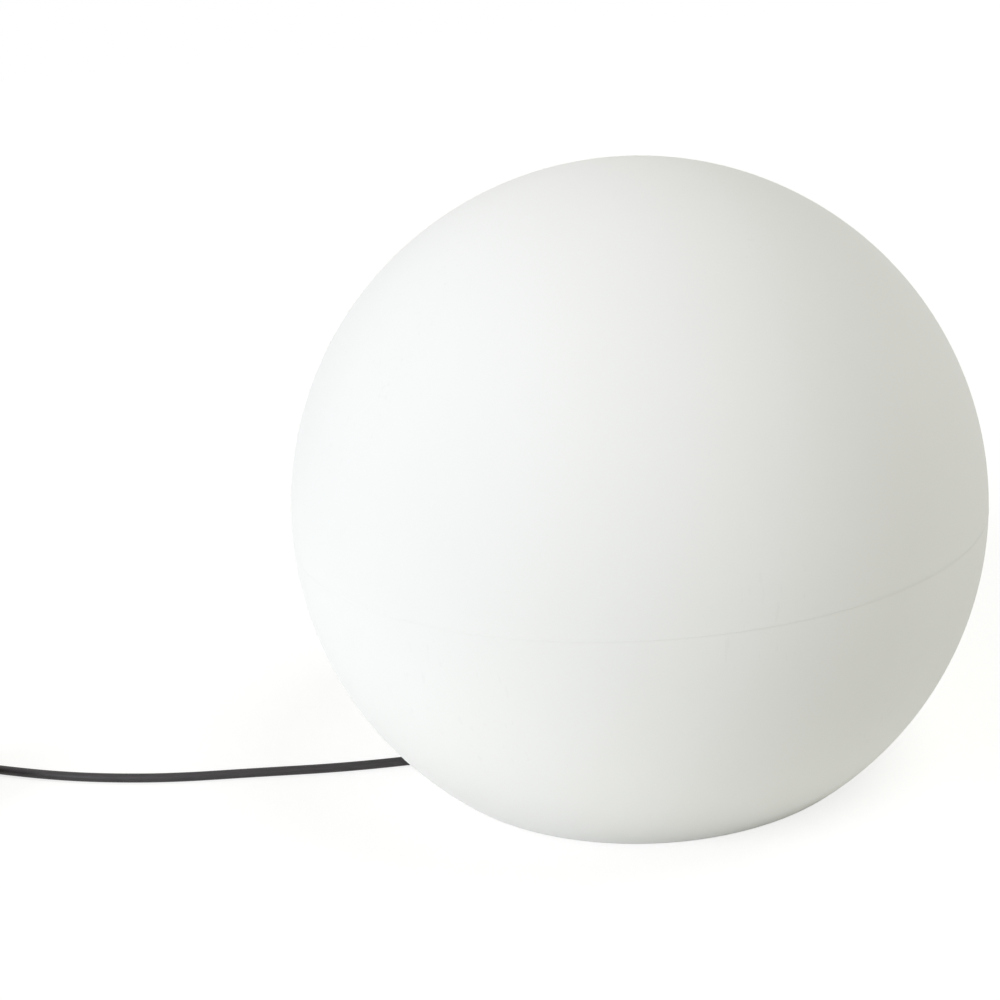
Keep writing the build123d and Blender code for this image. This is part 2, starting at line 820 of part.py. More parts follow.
# Wires from the terminal block up through the nipple to the holder
for side, post_x, wire_name in (
    (1, side_post_x, "wire_live"),
    (-1, centre_post_x, "wire_neutral"),
):
    across = side * core_apart / 2
    route = rounded_route(
        [
            (block_end_x - wire_in, side * pole_apart / 2, pole_z),
            (block_end_x + 2 * core_r, side * pole_apart / 2, pole_z),
            (0, across, nipple_z - core_r),
            (0, across, nipple_top_z + 2 * core_r),
            (post_x, 0, post_z - 2 * core_r),
            (post_x, 0, post_z + post_l - core_r),
        ]
    )
    with BuildPart() as wire:
        tube(route, core_r)
    wire.part.label = wire_name
    export_step(wire.part, f"parts/{wire_name}.step")

# Bulb ----------------------------------------------------------------------------------------

with BuildPart() as bulb_contact:
    with BuildSketch(Plane.XY.offset(tip_z)):
        Circle(tip_r)
    extrude(amount=tip_h)
    fillet(bulb_contact.edges().group_by(Axis.Z)[0], tip_h / 2)
bulb_contact.part.label = "bulb_contact"
export_step(bulb_contact.part, "parts/bulb_contact.step")

with BuildPart() as bulb_insulator:
    with BuildSketch(Plane.XY.offset(tip_z + tip_h)):
        Circle(insulator_foot_r)
    with BuildSketch(Plane.XY.offset(tip_z + tip_h + insulator_h)):
        Circle(cap_inner_r - fit)
    loft()
bulb_insulator.part.label = "bulb_insulator"
export_step(bulb_insulator.part, "parts/bulb_insulator.step")

with BuildPart() as bulb_cap:
    with BuildSketch(Plane.XZ):
        with BuildLine():
            ridge_z = cap_z + cap_lead_h
            lead = Line((cap_inner_r + fit, cap_z), (cap_root_r, ridge_z))
            for _ in range(cap_ridges):
                ThreePointArc(
                    (cap_root_r, ridge_z),
                    (cap_crest_r, ridge_z + cap_pitch / 2),
                    (cap_root_r, ridge_z + cap_pitch),
                )
                ridge_z += cap_pitch
            Polyline(
                (cap_root_r, ridge_z),
                (cap_crest_r, cap_top_z - cap_collar_h / 2),
                (cap_crest_r, cap_top_z),
                (cap_inner_r, cap_top_z),
                (cap_inner_r, cap_z),
                lead @ 0,
            )
        make_face()
    revolve(axis=Axis.Z)
bulb_cap.part.label = "bulb_cap"
export_step(bulb_cap.part, "parts/bulb_cap.step")

housing_neck_r = cap_inner_r - fit
led_board_z = led_top_z - led_board_t
slope = (housing_r - housing_foot_r) / (housing_h - housing_foot_h)
ledge_r = housing_r - slope * (housing_top_z - led_board_z) - housing_wall

with BuildPart() as bulb_housing:
    with BuildSketch(Plane.XZ):
        with BuildLine():
            Polyline(
                (housing_neck_r - housing_wall, cap_top_z - housing_neck_h),
                (housing_neck_r, cap_top_z - housing_neck_h),
                (housing_neck_r, cap_top_z),
                (housing_lip_r, cap_top_z),
                (housing_foot_r, cap_top_z + housing_foot_h),
                (housing_r, housing_top_z),
                (ledge_r + led_ledge, housing_top_z),
                (ledge_r + led_ledge, led_board_z),
                (ledge_r - led_ledge, led_board_z),
                (housing_foot_r - housing_wall, cap_top_z + housing_foot_h),
                (housing_neck_r - housing_wall, cap_top_z),
                close=True,
            )
        make_face()
    revolve(axis=Axis.Z)
bulb_housing.part.label = "bulb_housing"
export_step(bulb_housing.part, "parts/bulb_housing.step")

with BuildPart() as driver_board:
    with BuildSketch(Plane.XY.offset(led_board_z - driver_l)):
        Rectangle(driver_w, driver_t)
    extrude(amount=driver_l)
driver_board.part.label = "driver_board"
export_step(driver_board.part, "parts/driver_board.step")

with BuildPart() as led_board:
    with BuildSketch(Plane.XY.offset(led_board_z)):
        Circle(ledge_r + led_ledge - fit)
    extrude(amount=led_board_t)
led_board.part.label = "led_board"
export_step(led_board.part, "parts/led_board.step")

with BuildPart() as led_chips:
    with BuildSketch(Plane.XY.offset(led_top_z)):
        with PolarLocations(chip_ring_r, chip_count):
            Rectangle(chip_l, chip_w)
    extrude(amount=chip_t)
led_chips.part.label = "led_chips"
export_step(led_chips.part, "parts/led_chips.step")

with BuildPart() as bulb_dome:
    Sphere(bulb_r)
    Sphere(bulb_r - bulb_wall, mode=Mode.SUBTRACT)
    split(bisect_by=Plane.XY.offset(housing_top_z - bulb_z), keep=Keep.TOP)
bulb_dome.part.position = (0, 0, bulb_z)
bulb_dome.part.label = "bulb_dome"
export_step(bulb_dome.part, "parts/bulb_dome.step")

# Cord on the floor ---------------------------------------------------------------------------

lead_points = [(cord_exit_x, 0, gland_z), *cord_lead_points]
lead_route = rounded_route(lead_points)

with BuildPart() as cord_lead:
    tube(lead_route, cord_r)
cord_lead.part.label = "cord_lead"
export_step(cord_lead.part, "parts/cord_lead.step")

# The coil starts in line with the lead's last run and winds to the left
heading = lead_route % 1
straight = 2 * cord_r
coil_outer_r = coil_inner_r + coil_turns * coil_pitch
coil_centre = lead_route @ 1 + heading * straight + heading.rotate(Axis.Z, 90) * coil_outer_r
coil_plane = Plane(origin=coil_centre, x_dir=heading.rotate(Axis.Z, -90))


def coil_halves():
    """Each half turn as its radius and climb: in, up, out, up and so on."""
    halves = []
    for layer in range(coil_layers):
        inward = layer % 2 == 0
        for half in range(2 * coil_turns):
            drawn_in = half if inward else 2 * coil_turns - half - 1
            halves.append((coil_outer_r - drawn_in * coil_pitch / 2, 0))
        if layer < coil_layers - 1:
            halves.append((coil_inner_r if inward else coil_outer_r + coil_pitch / 2, coil_pitch))
    return halves


with BuildLine(coil_plane) as coil_route:
    across = coil_outer_r
    height = 0
    side = 1
    Line((across, -straight, height), (across, 0, height))
    for radius, climb in coil_halves():
        middle = across - side * radius
        ThreePointArc(
            (across, 0, height),
            (middle, side * sqrt(radius**2 + (climb / 2) ** 2), height + climb / 2),
            (middle - side * radius, 0, height + climb),
        )
        across = middle - side * radius
        height += climb
        side = -side
    Line((across, 0, height), (across, side * straight, height))

with BuildPart() as cord_coil:
    tube(coil_route.line, cord_r)
cord_coil.part.label = "cord_coil"
export_step(cord_coil.part, "parts/cord_coil.step")

coil_end = coil_route.line @ 1
tail_start = coil_end + (coil_route.line % 1) * tail_start_l
tail_route = rounded_route([tuple(coil_end), tuple(tail_start), *tail_points])

with BuildPart() as cord_tail:
    tube(tail_route, cord_r)
cord_tail.part.label = "cord_tail"
export_step(cord_tail.part, "parts/cord_tail.step")

# Plug ----------------------------------------------------------------------------------------

plug_plane = Plane(
    origin=tail_route @ 1, x_dir=(tail_route % 1).rotate(Axis.Z, 90), z_dir=tail_route % 1
)

with BuildPart() as plug_boot:
    with BuildSketch(plug_plane):
        Circle(boot_tip_r)
    with BuildSketch(plug_plane.offset(boot_l)):
        Circle(boot_r)
    loft()
    groove_pitch = boot_l / (boot_grooves + 1)
    for groove in range(boot_grooves):
        groove_start = (groove + 1) * groove_pitch - boot_groove_w / 2
        groove_r = boot_tip_r + (boot_r - boot_tip_r) * groove_start / boot_l - boot_groove_d
        with BuildSketch(plug_plane.offset(groove_start)):
            Circle(boot_r + boot_groove_d)
            Circle(groove_r, mode=Mode.SUBTRACT)
        extrude(amount=boot_groove_w, mode=Mode.SUBTRACT)
plug_boot.part.label = "plug_boot"
export_step(plug_boot.part, "parts/plug_boot.step")

with BuildPart() as plug_body:
    with BuildSketch(plug_plane.offset(boot_l)):
        RectangleRounded(plug_neck_w, plug_neck_h, plug_corner_r)
    with BuildSketch(plug_plane.offset(boot_l + plug_neck_l)):
        RectangleRounded(plug_w, plug_h, plug_corner_r)
    loft()
    with BuildSketch(plug_plane.offset(boot_l + plug_neck_l)):
        RectangleRounded(plug_w, plug_h, plug_corner_r)
    extrude(amount=plug_l - plug_neck_l)
plug_body.part.label = "plug_body"
export_step(plug_body.part, "parts/plug_body.step")

with BuildPart() as plug_pins:
    with BuildSketch(plug_plane.offset(boot_l + plug_l)):
        with GridLocations(pin_apart, 0, 2, 1):
            Circle(pin_r)
    extrude(amount=pin_l)
    chamfer(
        plug_pins.edges().filter_by(GeomType.CIRCLE).sort_by_distance(tail_route @ 1)[2:], pin_tip
    )
plug_pins.part.label = "plug_pins"
export_step(plug_pins.part, "parts/plug_pins.step")

# How tightly the cord bends, and how close it comes to itself --------------------------------

for route_name, points in (
    ("lead", lead_points),
    ("tail", [tuple(coil_end), tuple(tail_start), *tail_points]),
):
    print(route_name, "bend radii", [round(radius) for radius in bend_radii(points)])


def least_gap(wires, step):
    """The least gap between stretches of the cord that don't follow on from each other."""
    spots = []
    for wire in wires:
        places = [k * step for k in range(int(wire.length / step))]
        spots += [tuple(spot) for spot in wire.positions(places, PositionMode.LENGTH)]
    apart = round(6 * cord_r / step)
    nearest = min(dist(a, b) for i, a in enumerate(spots) for b in spots[i + apart :])
    return nearest - 2 * cord_r


cord_wires = [Wire(route.edges()) for route in (lead_route, coil_route.line, tail_route)]
print("least gap of the cord to itself", round(least_gap(cord_wires, cord_r / 2), 2))
print("cord length", round(sum(wire.length for wire in cord_wires) + cord_entry_l))
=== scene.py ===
"""Garden globe light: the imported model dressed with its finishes, its cord and a studio.

Metres and radians. The origin is on the globe's axis, on the floor. +Z is up, and the cord leaves
the base towards -X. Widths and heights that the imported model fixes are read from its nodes.
"""

from math import cos, pi, radians, sin, tau

import bpy
from bpy.props import FloatProperty, FloatVectorProperty, IntProperty, PointerProperty
from mathutils import Matrix, Vector


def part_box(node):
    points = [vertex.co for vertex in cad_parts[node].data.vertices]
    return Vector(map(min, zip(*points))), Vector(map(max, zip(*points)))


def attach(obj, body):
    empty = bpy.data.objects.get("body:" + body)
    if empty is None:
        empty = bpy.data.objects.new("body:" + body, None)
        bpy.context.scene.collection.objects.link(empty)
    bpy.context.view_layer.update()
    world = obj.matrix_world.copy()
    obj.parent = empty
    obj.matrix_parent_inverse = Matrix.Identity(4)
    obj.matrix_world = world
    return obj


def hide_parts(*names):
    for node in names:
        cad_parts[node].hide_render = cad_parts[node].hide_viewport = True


bl_info = {
    "name": "Garden Globe Light",
    "version": (1, 0, 0),
    "blender": (4, 5, 0),
    "location": "3D View > Sidebar > Globe Light",
    "description": "Dresses the packed model of a garden globe light",
    "category": "Add Mesh",
}

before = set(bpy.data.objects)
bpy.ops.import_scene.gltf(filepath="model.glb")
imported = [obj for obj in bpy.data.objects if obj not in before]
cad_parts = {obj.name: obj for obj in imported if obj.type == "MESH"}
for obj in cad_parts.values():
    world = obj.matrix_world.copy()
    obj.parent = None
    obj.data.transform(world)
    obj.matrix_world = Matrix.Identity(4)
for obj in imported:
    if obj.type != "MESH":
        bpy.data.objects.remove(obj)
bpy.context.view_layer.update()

# The globe's upper half reaches from the sphere's centre to its top
globe_low, globe_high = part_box("globe_upper")
CENTRE_HEIGHT = globe_low[2]
GLOBE_RADIUS = globe_high[2] - globe_low[2]
RECESS_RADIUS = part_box("globe_recess")[1][0]

# Settings ----------------------------------------------------------------------------------------


def length_setting(name, description, default):
    return FloatProperty(name=name, description=description, default=default, unit="LENGTH")


def strength_setting(name, description, default):
    return FloatProperty(name=name, description=description, default=default, min=0.0)


def count_setting(name, description, default, least):
    return IntProperty(name=name, description=description, default=default, min=least)


def colour_setting(name, description, default):
    return FloatVectorProperty(
        name=name, description=description, default=default, subtype="COLOR", min=0.0, max=1.0
    )


# Trees -------------------------------------------------------------------------------------------

SOCKET_KINDS = {float: "Float", int: "Int", tuple: "Color"}


class Tree:
    """Writes a node tree: each call adds one node, with its inputs linked or set."""

    def __init__(self, tree):
        self.tree = tree

    @classmethod
    def group(cls, name, kind, inputs, result, result_kind):
        """A new group. Each input has a value, or the name of its kind where it has none."""
        made = cls(bpy.data.node_groups.new(name, kind))
        sockets = made.tree.interface
        for label, value in inputs.items():
            plain = not isinstance(value, str)
            socket_type = "NodeSocket" + (SOCKET_KINDS[type(value)] if plain else value)
            socket = sockets.new_socket(label, in_out="INPUT", socket_type=socket_type)
            if plain:
                socket.default_value = value
        sockets.new_socket(result, in_out="OUTPUT", socket_type="NodeSocket" + result_kind)
        made.given = made.tree.nodes.new("NodeGroupInput").outputs
        made.result = made.tree.nodes.new("NodeGroupOutput").inputs[result]
        return made

    @classmethod
    def shape(cls, name, inputs):
        """A new Geometry Nodes group that makes a mesh."""
        return cls.group(name, "GeometryNodeTree", inputs, "Mesh", "Geometry")

    def giving(self, value):
        """Feeds the group's result, and returns the group."""
        self.feed(self.result, value)
        return self.tree

    def feed(self, socket, value):
        """Links a socket to a node, an output or a list of them, or sets it to a plain value."""
        if isinstance(value, list):
            for each in value:
                self.feed(socket, each)
        elif isinstance(value, bpy.types.Node):
            self.tree.links.new(next(out for out in value.outputs if out.enabled), socket)
        elif isinstance(value, bpy.types.NodeSocket):
            self.tree.links.new(value, socket)
        else:
            socket.default_value = value

    def __call__(self, kind, inputs=None, **settings):
        node = self.tree.nodes.new(kind)
        for key, value in settings.items():
            setattr(node, key, value)
        for key, value in (inputs or {}).items():
            self.feed(node.inputs[key], value)
        return node

    def use(self, group, **inputs):
        """Places a group of this file, with its inputs named in lower case."""
        kind = self.tree.bl_idname.replace("Tree", "") + "Group"
        node = self.tree.nodes.new(kind)
        node.node_tree = group
        for key, value in inputs.items():
            self.feed(node.inputs[key.replace("_", " ").title()], value)
        return node

    def math(self, operation, *values):
        return self("ShaderNodeMath", dict(enumerate(values)), operation=operation)

    def minus(self, value):
        return self.math("MULTIPLY", value, -1.0)

    def vector(self, x=0.0, y=0.0, z=0.0):
        return self("ShaderNodeCombineXYZ", {"X": x, "Y": y, "Z": z})

    def place(self):
        """Where the shaded point lies on its piece."""
        return self("ShaderNodeTexCoord").outputs["Object"]

    def noise(self, place, scale, detail):
        return self("ShaderNodeTexNoise", {"Vector": place, "Scale": scale, "Detail": detail})

    def ramp(self, value, start, end, low=0.0, high=1.0):
        """Goes from low to high while the value goes from start to end, and no further."""
        return self(
            "ShaderNodeMapRange",
            {"Value": value, "From Min": start, "From Max": end, "To Min": low, "To Max": high},
        )

    def tinted(self, colour, level):
        """A colour that is darker below a level of 1 and lighter above it."""
        return self("ShaderNodeHueSaturation", {"Value": level, "Color": colour})

    def moved(self, geometry, **change):
        """Geometry with a translation, rotation or scale."""
        changes = {key.title(): value for key, value in change.items()}
        return self("GeometryNodeTransform", {"Geometry": geometry, **changes})

    def line(self, start, end):
        ends = {"Start": self.vector(*start), "End": self.vector(*end)}
        return self("GeometryNodeCurvePrimitiveLine", ends)

    def box_outline(self, width, height):
        sizes = {"Width": width, "Height": height}
        return self("GeometryNodeCurvePrimitiveQuadrilateral", sizes, mode="RECTANGLE")

    def filleted(self, curve, radius, count, limited=False):
        """A curve with its corners rounded by count steps each."""
        inputs = {"Curve": curve, "Count": count, "Radius": radius, "Limit Radius": limited}
        return self("GeometryNodeFilletCurve", inputs, mode="POLY")

    def cut(self, solid, tool, **settings):
        return self("GeometryNodeMeshBoolean", {"Mesh 1": solid, "Mesh 2": tool}, **settings)

    def finished(self, mesh, finish):
        """The last steps of every piece: smooth, its instances made real, and its material."""
        smooth = self("GeometryNodeSetShadeSmooth", {"Geometry": mesh})
        real = self("GeometryNodeRealizeInstances", {"Geometry": smooth})
        return self.giving(self("GeometryNodeSetMaterial", {"Geometry": real, "Material": finish}))


# Finishes: groups that the materials share -------------------------------------------------------

NOISE_SPAN = (0.3, 0.7)  # most of a noise's values lie between these


def tone_group():
    """Lightens and darkens a colour in soft patches."""
    inputs = {"Colour": (0.8, 0.8, 0.8, 1.0), "Amount": 0.03, "Scale": 20.0}
    t = Tree.group("Tone", "ShaderNodeTree", inputs, "Colour", "Color")
    noise = t.noise(t.place(), t.given["Scale"], 3.0)
    darkest = t.math("SUBTRACT", 1.0, t.given["Amount"])
    lightest = t.math("ADD", 1.0, t.given["Amount"])
    return t.giving(t.tinted(t.given["Colour"], t.ramp(noise, *NOISE_SPAN, darkest, lightest)))


def grain_group():
    """The height of a moulded skin: fine grain over a shallow ripple."""
    inputs = {"Fine Scale": 1200.0, "Ripple Scale": 60.0, "Ripple": 0.3}
    t = Tree.group("Grain", "ShaderNodeTree", inputs, "Height", "Float")
    place = t.place()
    fine = t.noise(place, t.given["Fine Scale"], 2.0)
    ripple = t.noise(place, t.given["Ripple Scale"], 1.0)
    return t.giving(t.math("MULTIPLY_ADD", ripple, t.given["Ripple"], fine))


def gloss_group():
    """Varies a roughness in soft patches, as handling and moulding leave it."""
    inputs = {"Roughness": 0.5, "Amount": 0.08, "Scale": 30.0}
    t = Tree.group("Gloss", "ShaderNodeTree", inputs, "Roughness", "Float")
    noise = t.noise(t.place(), t.given["Scale"], 4.0)
    swing = t.math("MULTIPLY", t.math("SUBTRACT", noise, 0.5), t.given["Amount"])
    return t.giving(t.math("ADD", t.given["Roughness"], t.math("ADD", swing, swing)))


def scuff_group():
    """A mask of short faint scratches, in a few places only."""
    inputs = {"Scale": 14.0, "Spread": 0.62}
    t = Tree.group("Scuffs", "ShaderNodeTree", inputs, "Mask", "Float")
    drawn_out = (4.0, 4.0, 0.8)  # the scratches are longer up and down than across
    finer = 9.0
    scratch_start, scratch_full = 0.67, 0.72
    patch_edge = 0.08
    place = t.place()
    stretched = t("ShaderNodeMapping", {"Vector": place, "Scale": drawn_out})
    streaks = t.noise(stretched, t.math("MULTIPLY", t.given["Scale"], finer), 1.0)
    scratches = t.ramp(streaks, scratch_start, scratch_full)
    where = t.noise(place, t.given["Scale"], 0.0)
    patch = t.ramp(where, t.given["Spread"], t.math("ADD", t.given["Spread"], patch_edge))
    return t.giving(t.math("MULTIPLY", scratches, patch))


finish_groups = {}


def finish_group(name):
    """One of the shared groups, made when it is first asked for."""
    makers = {
        "tone": tone_group,
        "grain": grain_group,
        "gloss": gloss_group,
        "scuffs": scuff_group,
    }
    if name not in finish_groups:
        finish_groups[name] = makers[name]()
    return finish_groups[name]


def start_material(name):
    """A new material, its tree and its surface shader."""
    material = bpy.data.materials.new(name)
    material.use_nodes = True
    return material, Tree(material.node_tree), material.node_tree.nodes["Principled BSDF"]


def feed_shader(t, shader, colour, roughness, height, strength, depth):
    """Feeds a surface shader its colour, its gloss and the bumps of its skin."""
    bump = t("ShaderNodeBump", {"Height": height, "Strength": strength, "Distance": depth})
    t.feed(shader.inputs["Base Color"], colour)
    t.feed(shader.inputs["Roughness"], roughness)
    t.feed(shader.inputs["Normal"], bump)


def surface(
    name,
    colour,
    roughness,
    metallic=0.0,
    coat=0.0,
    tone=0.04,
    grain=0.15,
    fine_scale=1500.0,
    ripple=0.3,
):
    """A solid finish: toned colour, varied gloss and the grain of its skin."""
    tone_scale, gloss_scale, ripple_scale = 45.0, 90.0, 80.0
    gloss_amount = 0.12 * roughness
    grain_depth = 0.0004
    material, t, shader = start_material(name)
    toned = t.use(finish_group("tone"), colour=(*colour, 1.0), amount=tone, scale=tone_scale)
    gloss = t.use(
        finish_group("gloss"), roughness=roughness, amount=gloss_amount, scale=gloss_scale
    )
    height = t.use(
        finish_group("grain"), fine_scale=fine_scale, ripple_scale=ripple_scale, ripple=ripple
    )
    feed_shader(t, shader, toned, gloss, height, grain, grain_depth)
    shader.inputs["Metallic"].default_value = metallic
    shader.inputs["Coat Weight"].default_value = coat
    return material


# Pieces ------------------------------------------------------------------------------------------


def added(name, data):
    """A new object in the scene."""
    made = bpy.data.objects.new(name, data)
    bpy.context.scene.collection.objects.link(made)
    return made


def grown(name, group, values):
    """The plain mesh that a Geometry Nodes group makes from these named values."""
    carrier = added(name + " carrier", bpy.data.meshes.new(name + " carrier"))
    modifier = carrier.modifiers.new("Shape", "NODES")
    modifier.node_group = group
    for item in group.interface.items_tree:
        if item.in_out == "INPUT" and item.name in values:
            modifier[item.identifier] = values[item.name]
    bpy.context.view_layer.update()
    evaluated = carrier.evaluated_get(bpy.context.evaluated_depsgraph_get())
    mesh = bpy.data.meshes.new_from_object(evaluated)
    bpy.data.objects.remove(carrier)
    mesh.name = name
    mesh.set_sharp_from_angle(angle=radians(32))
    return added(name, mesh)


def dress(material, *nodes):
    """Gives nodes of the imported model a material."""
    for node in nodes:
        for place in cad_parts[node].material_slots:
            place.material = material


def put_on(piece, body, slot, *replaced):
    """Lets a piece ride on its body in place of the nodes that it stands for."""
    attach(piece, body)
    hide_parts(*replaced)


# Globe -------------------------------------------------------------------------------------------


def turned_group():
    """Turns an outline, drawn with its radius along X and its height along Y, about Z."""
    guide_r = 0.001
    weld = 0.00001
    t = Tree.shape("Turned", {"Outline": "Geometry", "Segments": 96})
    shifted = t.moved(
        t.given["Outline"], translation=(-guide_r, 0.0, 0.0), scale=(1.0, -1.0, 1.0)
    )
    guide = t(
        "GeometryNodeCurvePrimitiveCircle", {"Resolution": t.given["Segments"], "Radius": guide_r}
    )
    skin = t("GeometryNodeCurveToMesh", {"Curve": guide, "Profile Curve": shifted})
    return t.giving(t("GeometryNodeMergeByDistance", {"Geometry": skin, "Distance": weld}))


def ball_group(turned):
    """A ball cut off flat below, with a rounded foot and a seam whose height may be nothing."""
    t = Tree.shape(
        "Ball",
        {
            "Radius": 0.25,
            "Centre Height": 0.187,
            "Floor Height": 0.0,
            "Foot Rounding": 0.0125,
            "Seam Width": 0.0016,
            "Seam Height": 0.0003,
            "Rings": 64,
            "Segments": 96,
        },
    )
    innermost = 0.01  # radius of the flat foot's last ring before its middle
    near_foot = 0.0001
    fillet_steps = 6
    more_than_points = 1000.0  # keeps the parts of the outline in their order

    radius, centre = t.given["Radius"], t.given["Centre Height"]
    half_seam = t.math("DIVIDE", t.given["Seam Width"], 2.0)
    drop = t.math("SUBTRACT", centre, t.given["Floor Height"])
    foot_angle = t.math("ARCSINE", t.math("DIVIDE", drop, radius))
    # The arcs end a little beside the seam, so that its shading stays narrow
    arc_end = t.math("MULTIPLY", t.math("DIVIDE", half_seam, radius), 1.5)

    def arc(start, sweep):
        return t(
            "GeometryNodeCurveArc",
            {
                "Resolution": t.given["Rings"],
                "Radius": radius,
                "Start Angle": start,
                "Sweep Angle": sweep,
            },
        )

    # The seam's crest is a third as wide as its foot
    crest = t.math("ADD", radius, t.given["Seam Height"])
    crest_half = t.math("DIVIDE", half_seam, 3.0)
    parts = [
        arc(pi / 2, t.math("SUBTRACT", arc_end, pi / 2)),
        t.line((radius, half_seam), (crest, crest_half)),
        t.line((crest, t.minus(crest_half)), (radius, t.minus(half_seam))),
        arc(t.minus(arc_end), t.math("SUBTRACT", arc_end, foot_angle)),
        t.line((innermost, t.minus(drop)), (0.0, t.minus(drop))),
    ]
    points = []
    for number, curve in enumerate(parts):
        dots = t("GeometryNodeCurveToPoints", {"Curve": curve}, mode="EVALUATED")
        weight = t.math("ADD", t("GeometryNodeInputIndex"), more_than_points * number)
        points.append(
            t(
                "GeometryNodeStoreNamedAttribute",
                {"Geometry": dots, "Name": "place", "Value": weight},
                data_type="FLOAT",
                domain="POINT",
            )
        )
    joined = t("GeometryNodeJoinGeometry", {"Geometry": points})
    place = t("GeometryNodeInputNamedAttribute", {"Name": "place"}, data_type="FLOAT")
    outline = t("GeometryNodePointsToCurves", {"Points": joined, "Weight": place})
    height = t("ShaderNodeSeparateXYZ", {0: t("GeometryNodeInputPosition")}).outputs["Y"]
    at_foot = t(
        "FunctionNodeCompare",
        {"A": height, "B": t.math("SUBTRACT", near_foot, drop)},
        data_type="FLOAT",
        operation="LESS_THAN",
    )
    rounding = t.math("MULTIPLY", t.given["Foot Rounding"], at_foot)
    rounded = t.filleted(outline, rounding, fillet_steps, limited=True)
    solid = t.use(turned, outline=rounded, segments=t.given["Segments"])
    return t.giving(t.moved(solid, translation=t.vector(z=centre)))


def arch_group():
    """A bar with rounded corners that lies out from the axis, to cut the cord's arch with."""
    t = Tree.shape(
        "Arch",
        {
            "Width": 0.076,
            "Height": 0.012,
            "Corner": 0.005,
            "Start": 0.09,
            "Reach": 0.2,
            "Direction": pi,
        },
    )
    fillet_steps = 6
    # The bar's lower half lies below the floor
    outline = t.box_outline(t.given["Width"], t.math("MULTIPLY", t.given["Height"], 2.0))
    rounded = t.filleted(outline, t.given["Corner"], fillet_steps)
    line = t.line((t.given["Start"],), (t.given["Reach"],))
    bar = t(
        "GeometryNodeCurveToMesh", {"Curve": line, "Profile Curve": rounded, "Fill Caps": True}
    )
    return t.giving(t.moved(bar, rotation=t.vector(z=t.given["Direction"])))


def globe_group(ball, arch):
    """The globe's hollow moulding down to its standing ring, with the cord's arch."""
    t = Tree.shape(
        "Globe",
        {
            "Radius": 0.25,
            "Centre Height": 0.187,
            "Wall": 0.0035,
            "Foot Rounding": 0.0125,
            "Seam Width": 0.0016,
            "Seam Height": 0.0003,
            "Ring Start": 0.123,
            "Arch Width": 0.076,
            "Arch Height": 0.012,
            "Arch Corner": 0.005,
            "Arch Direction": pi,
            "Rings": 64,
            "Segments": 192,
            "Finish": "Material",
        },
    )
    given = t.given
    wall = given["Wall"]
    skin = t.use(
        ball,
        radius=given["Radius"],
        centre_height=given["Centre Height"],
        foot_rounding=given["Foot Rounding"],
        seam_width=given["Seam Width"],
        seam_height=given["Seam Height"],
        rings=given["Rings"],
        segments=given["Segments"],
    )
    inside = t.use(
        ball,
        radius=t.math("SUBTRACT", given["Radius"], wall),
        centre_height=given["Centre Height"],
        floor_height=wall,
        foot_rounding=t.math("SUBTRACT", given["Foot Rounding"], wall),
        seam_width=given["Seam Width"],
        seam_height=0.0,
        rings=t.math("DIVIDE", given["Rings"], 2.0),
        segments=t.math("DIVIDE", given["Segments"], 2.0),
    )
    way, way_and_wall = (
        t.use(
            arch,
            width=t.math("MULTIPLY_ADD", grow, 2.0, given["Arch Width"]),
            height=t.math("ADD", given["Arch Height"], grow),
            corner=t.math("ADD", given["Arch Corner"], grow),
            direction=given["Arch Direction"],
        )
        for grow in (0.0, wall)
    )
    hole_depth = 0.06  # half of it above the floor, well over the wall
    hole = t(
        "GeometryNodeMeshCylinder",
        {"Vertices": given["Segments"], "Radius": given["Ring Start"], "Depth": hole_depth},
    )
    hollow = t.cut(skin, t.cut(inside, way_and_wall))
    return t.finished(t.cut(t.cut(hollow, hole), way), given["Finish"])


def globe_finish(colour, seam_height):
    """Matt polyethylene: soft tone, a rotomoulded ripple, a dull seam line with painted shade that
    grows towards +X, and faint scuffs.
    """
    seam_line, seam_fade = 0.0007, 0.0014  # from the seam's middle
    side = 0.14  # the seam's mark is partly painted shade: it grows from -X to +X, the side away from the key lamp
    mark_left, mark_right = 0.1, 0.75
    scuff_share = 0.35
    darkening = 0.06
    material, t, shader = start_material("Globe polyethylene")
    toned = t.use(finish_group("tone"), colour=(*colour, 1.0), amount=0.008, scale=7.0)
    along = t("ShaderNodeSeparateXYZ", {"Vector": t.place()})
    off_seam = t.math("ABSOLUTE", t.math("SUBTRACT", along.outputs["Z"], seam_height))
    seam = t.ramp(off_seam, seam_line, seam_fade, 1.0, 0.0)
    # painted shade: the seam's dark line grows towards +X, the side away from the key lamp, and
    # fades on the lit side
    seam_shade_side = t.ramp(along.outputs["X"], -side, side, mark_left, mark_right)
    scuffs = t.use(finish_group("scuffs"), scale=8.0, spread=0.62)
    line = t.math("MULTIPLY", seam, seam_shade_side)
    scuffs_and_seam_shade = t.math("MAXIMUM", line, t.math("MULTIPLY", scuffs, scuff_share))
    # darkens the colour by the real scuffs and seam line, together with the seam's painted shade
    scuffed_and_seam_shaded = t.tinted(toned, t.math("SUBTRACT", 1.0, t.math("MULTIPLY", scuffs_and_seam_shade, darkening)))
    gloss = t.use(finish_group("gloss"), roughness=0.68, amount=0.05, scale=12.0)
    skin = t.use(finish_group("grain"), fine_scale=700.0, ripple_scale=55.0, ripple=1.2)
    feed_shader(t, shader, scuffed_and_seam_shaded, gloss, skin, strength=0.06, depth=0.0006)
    shader.inputs["Specular IOR Level"].default_value = 0.12
    return material


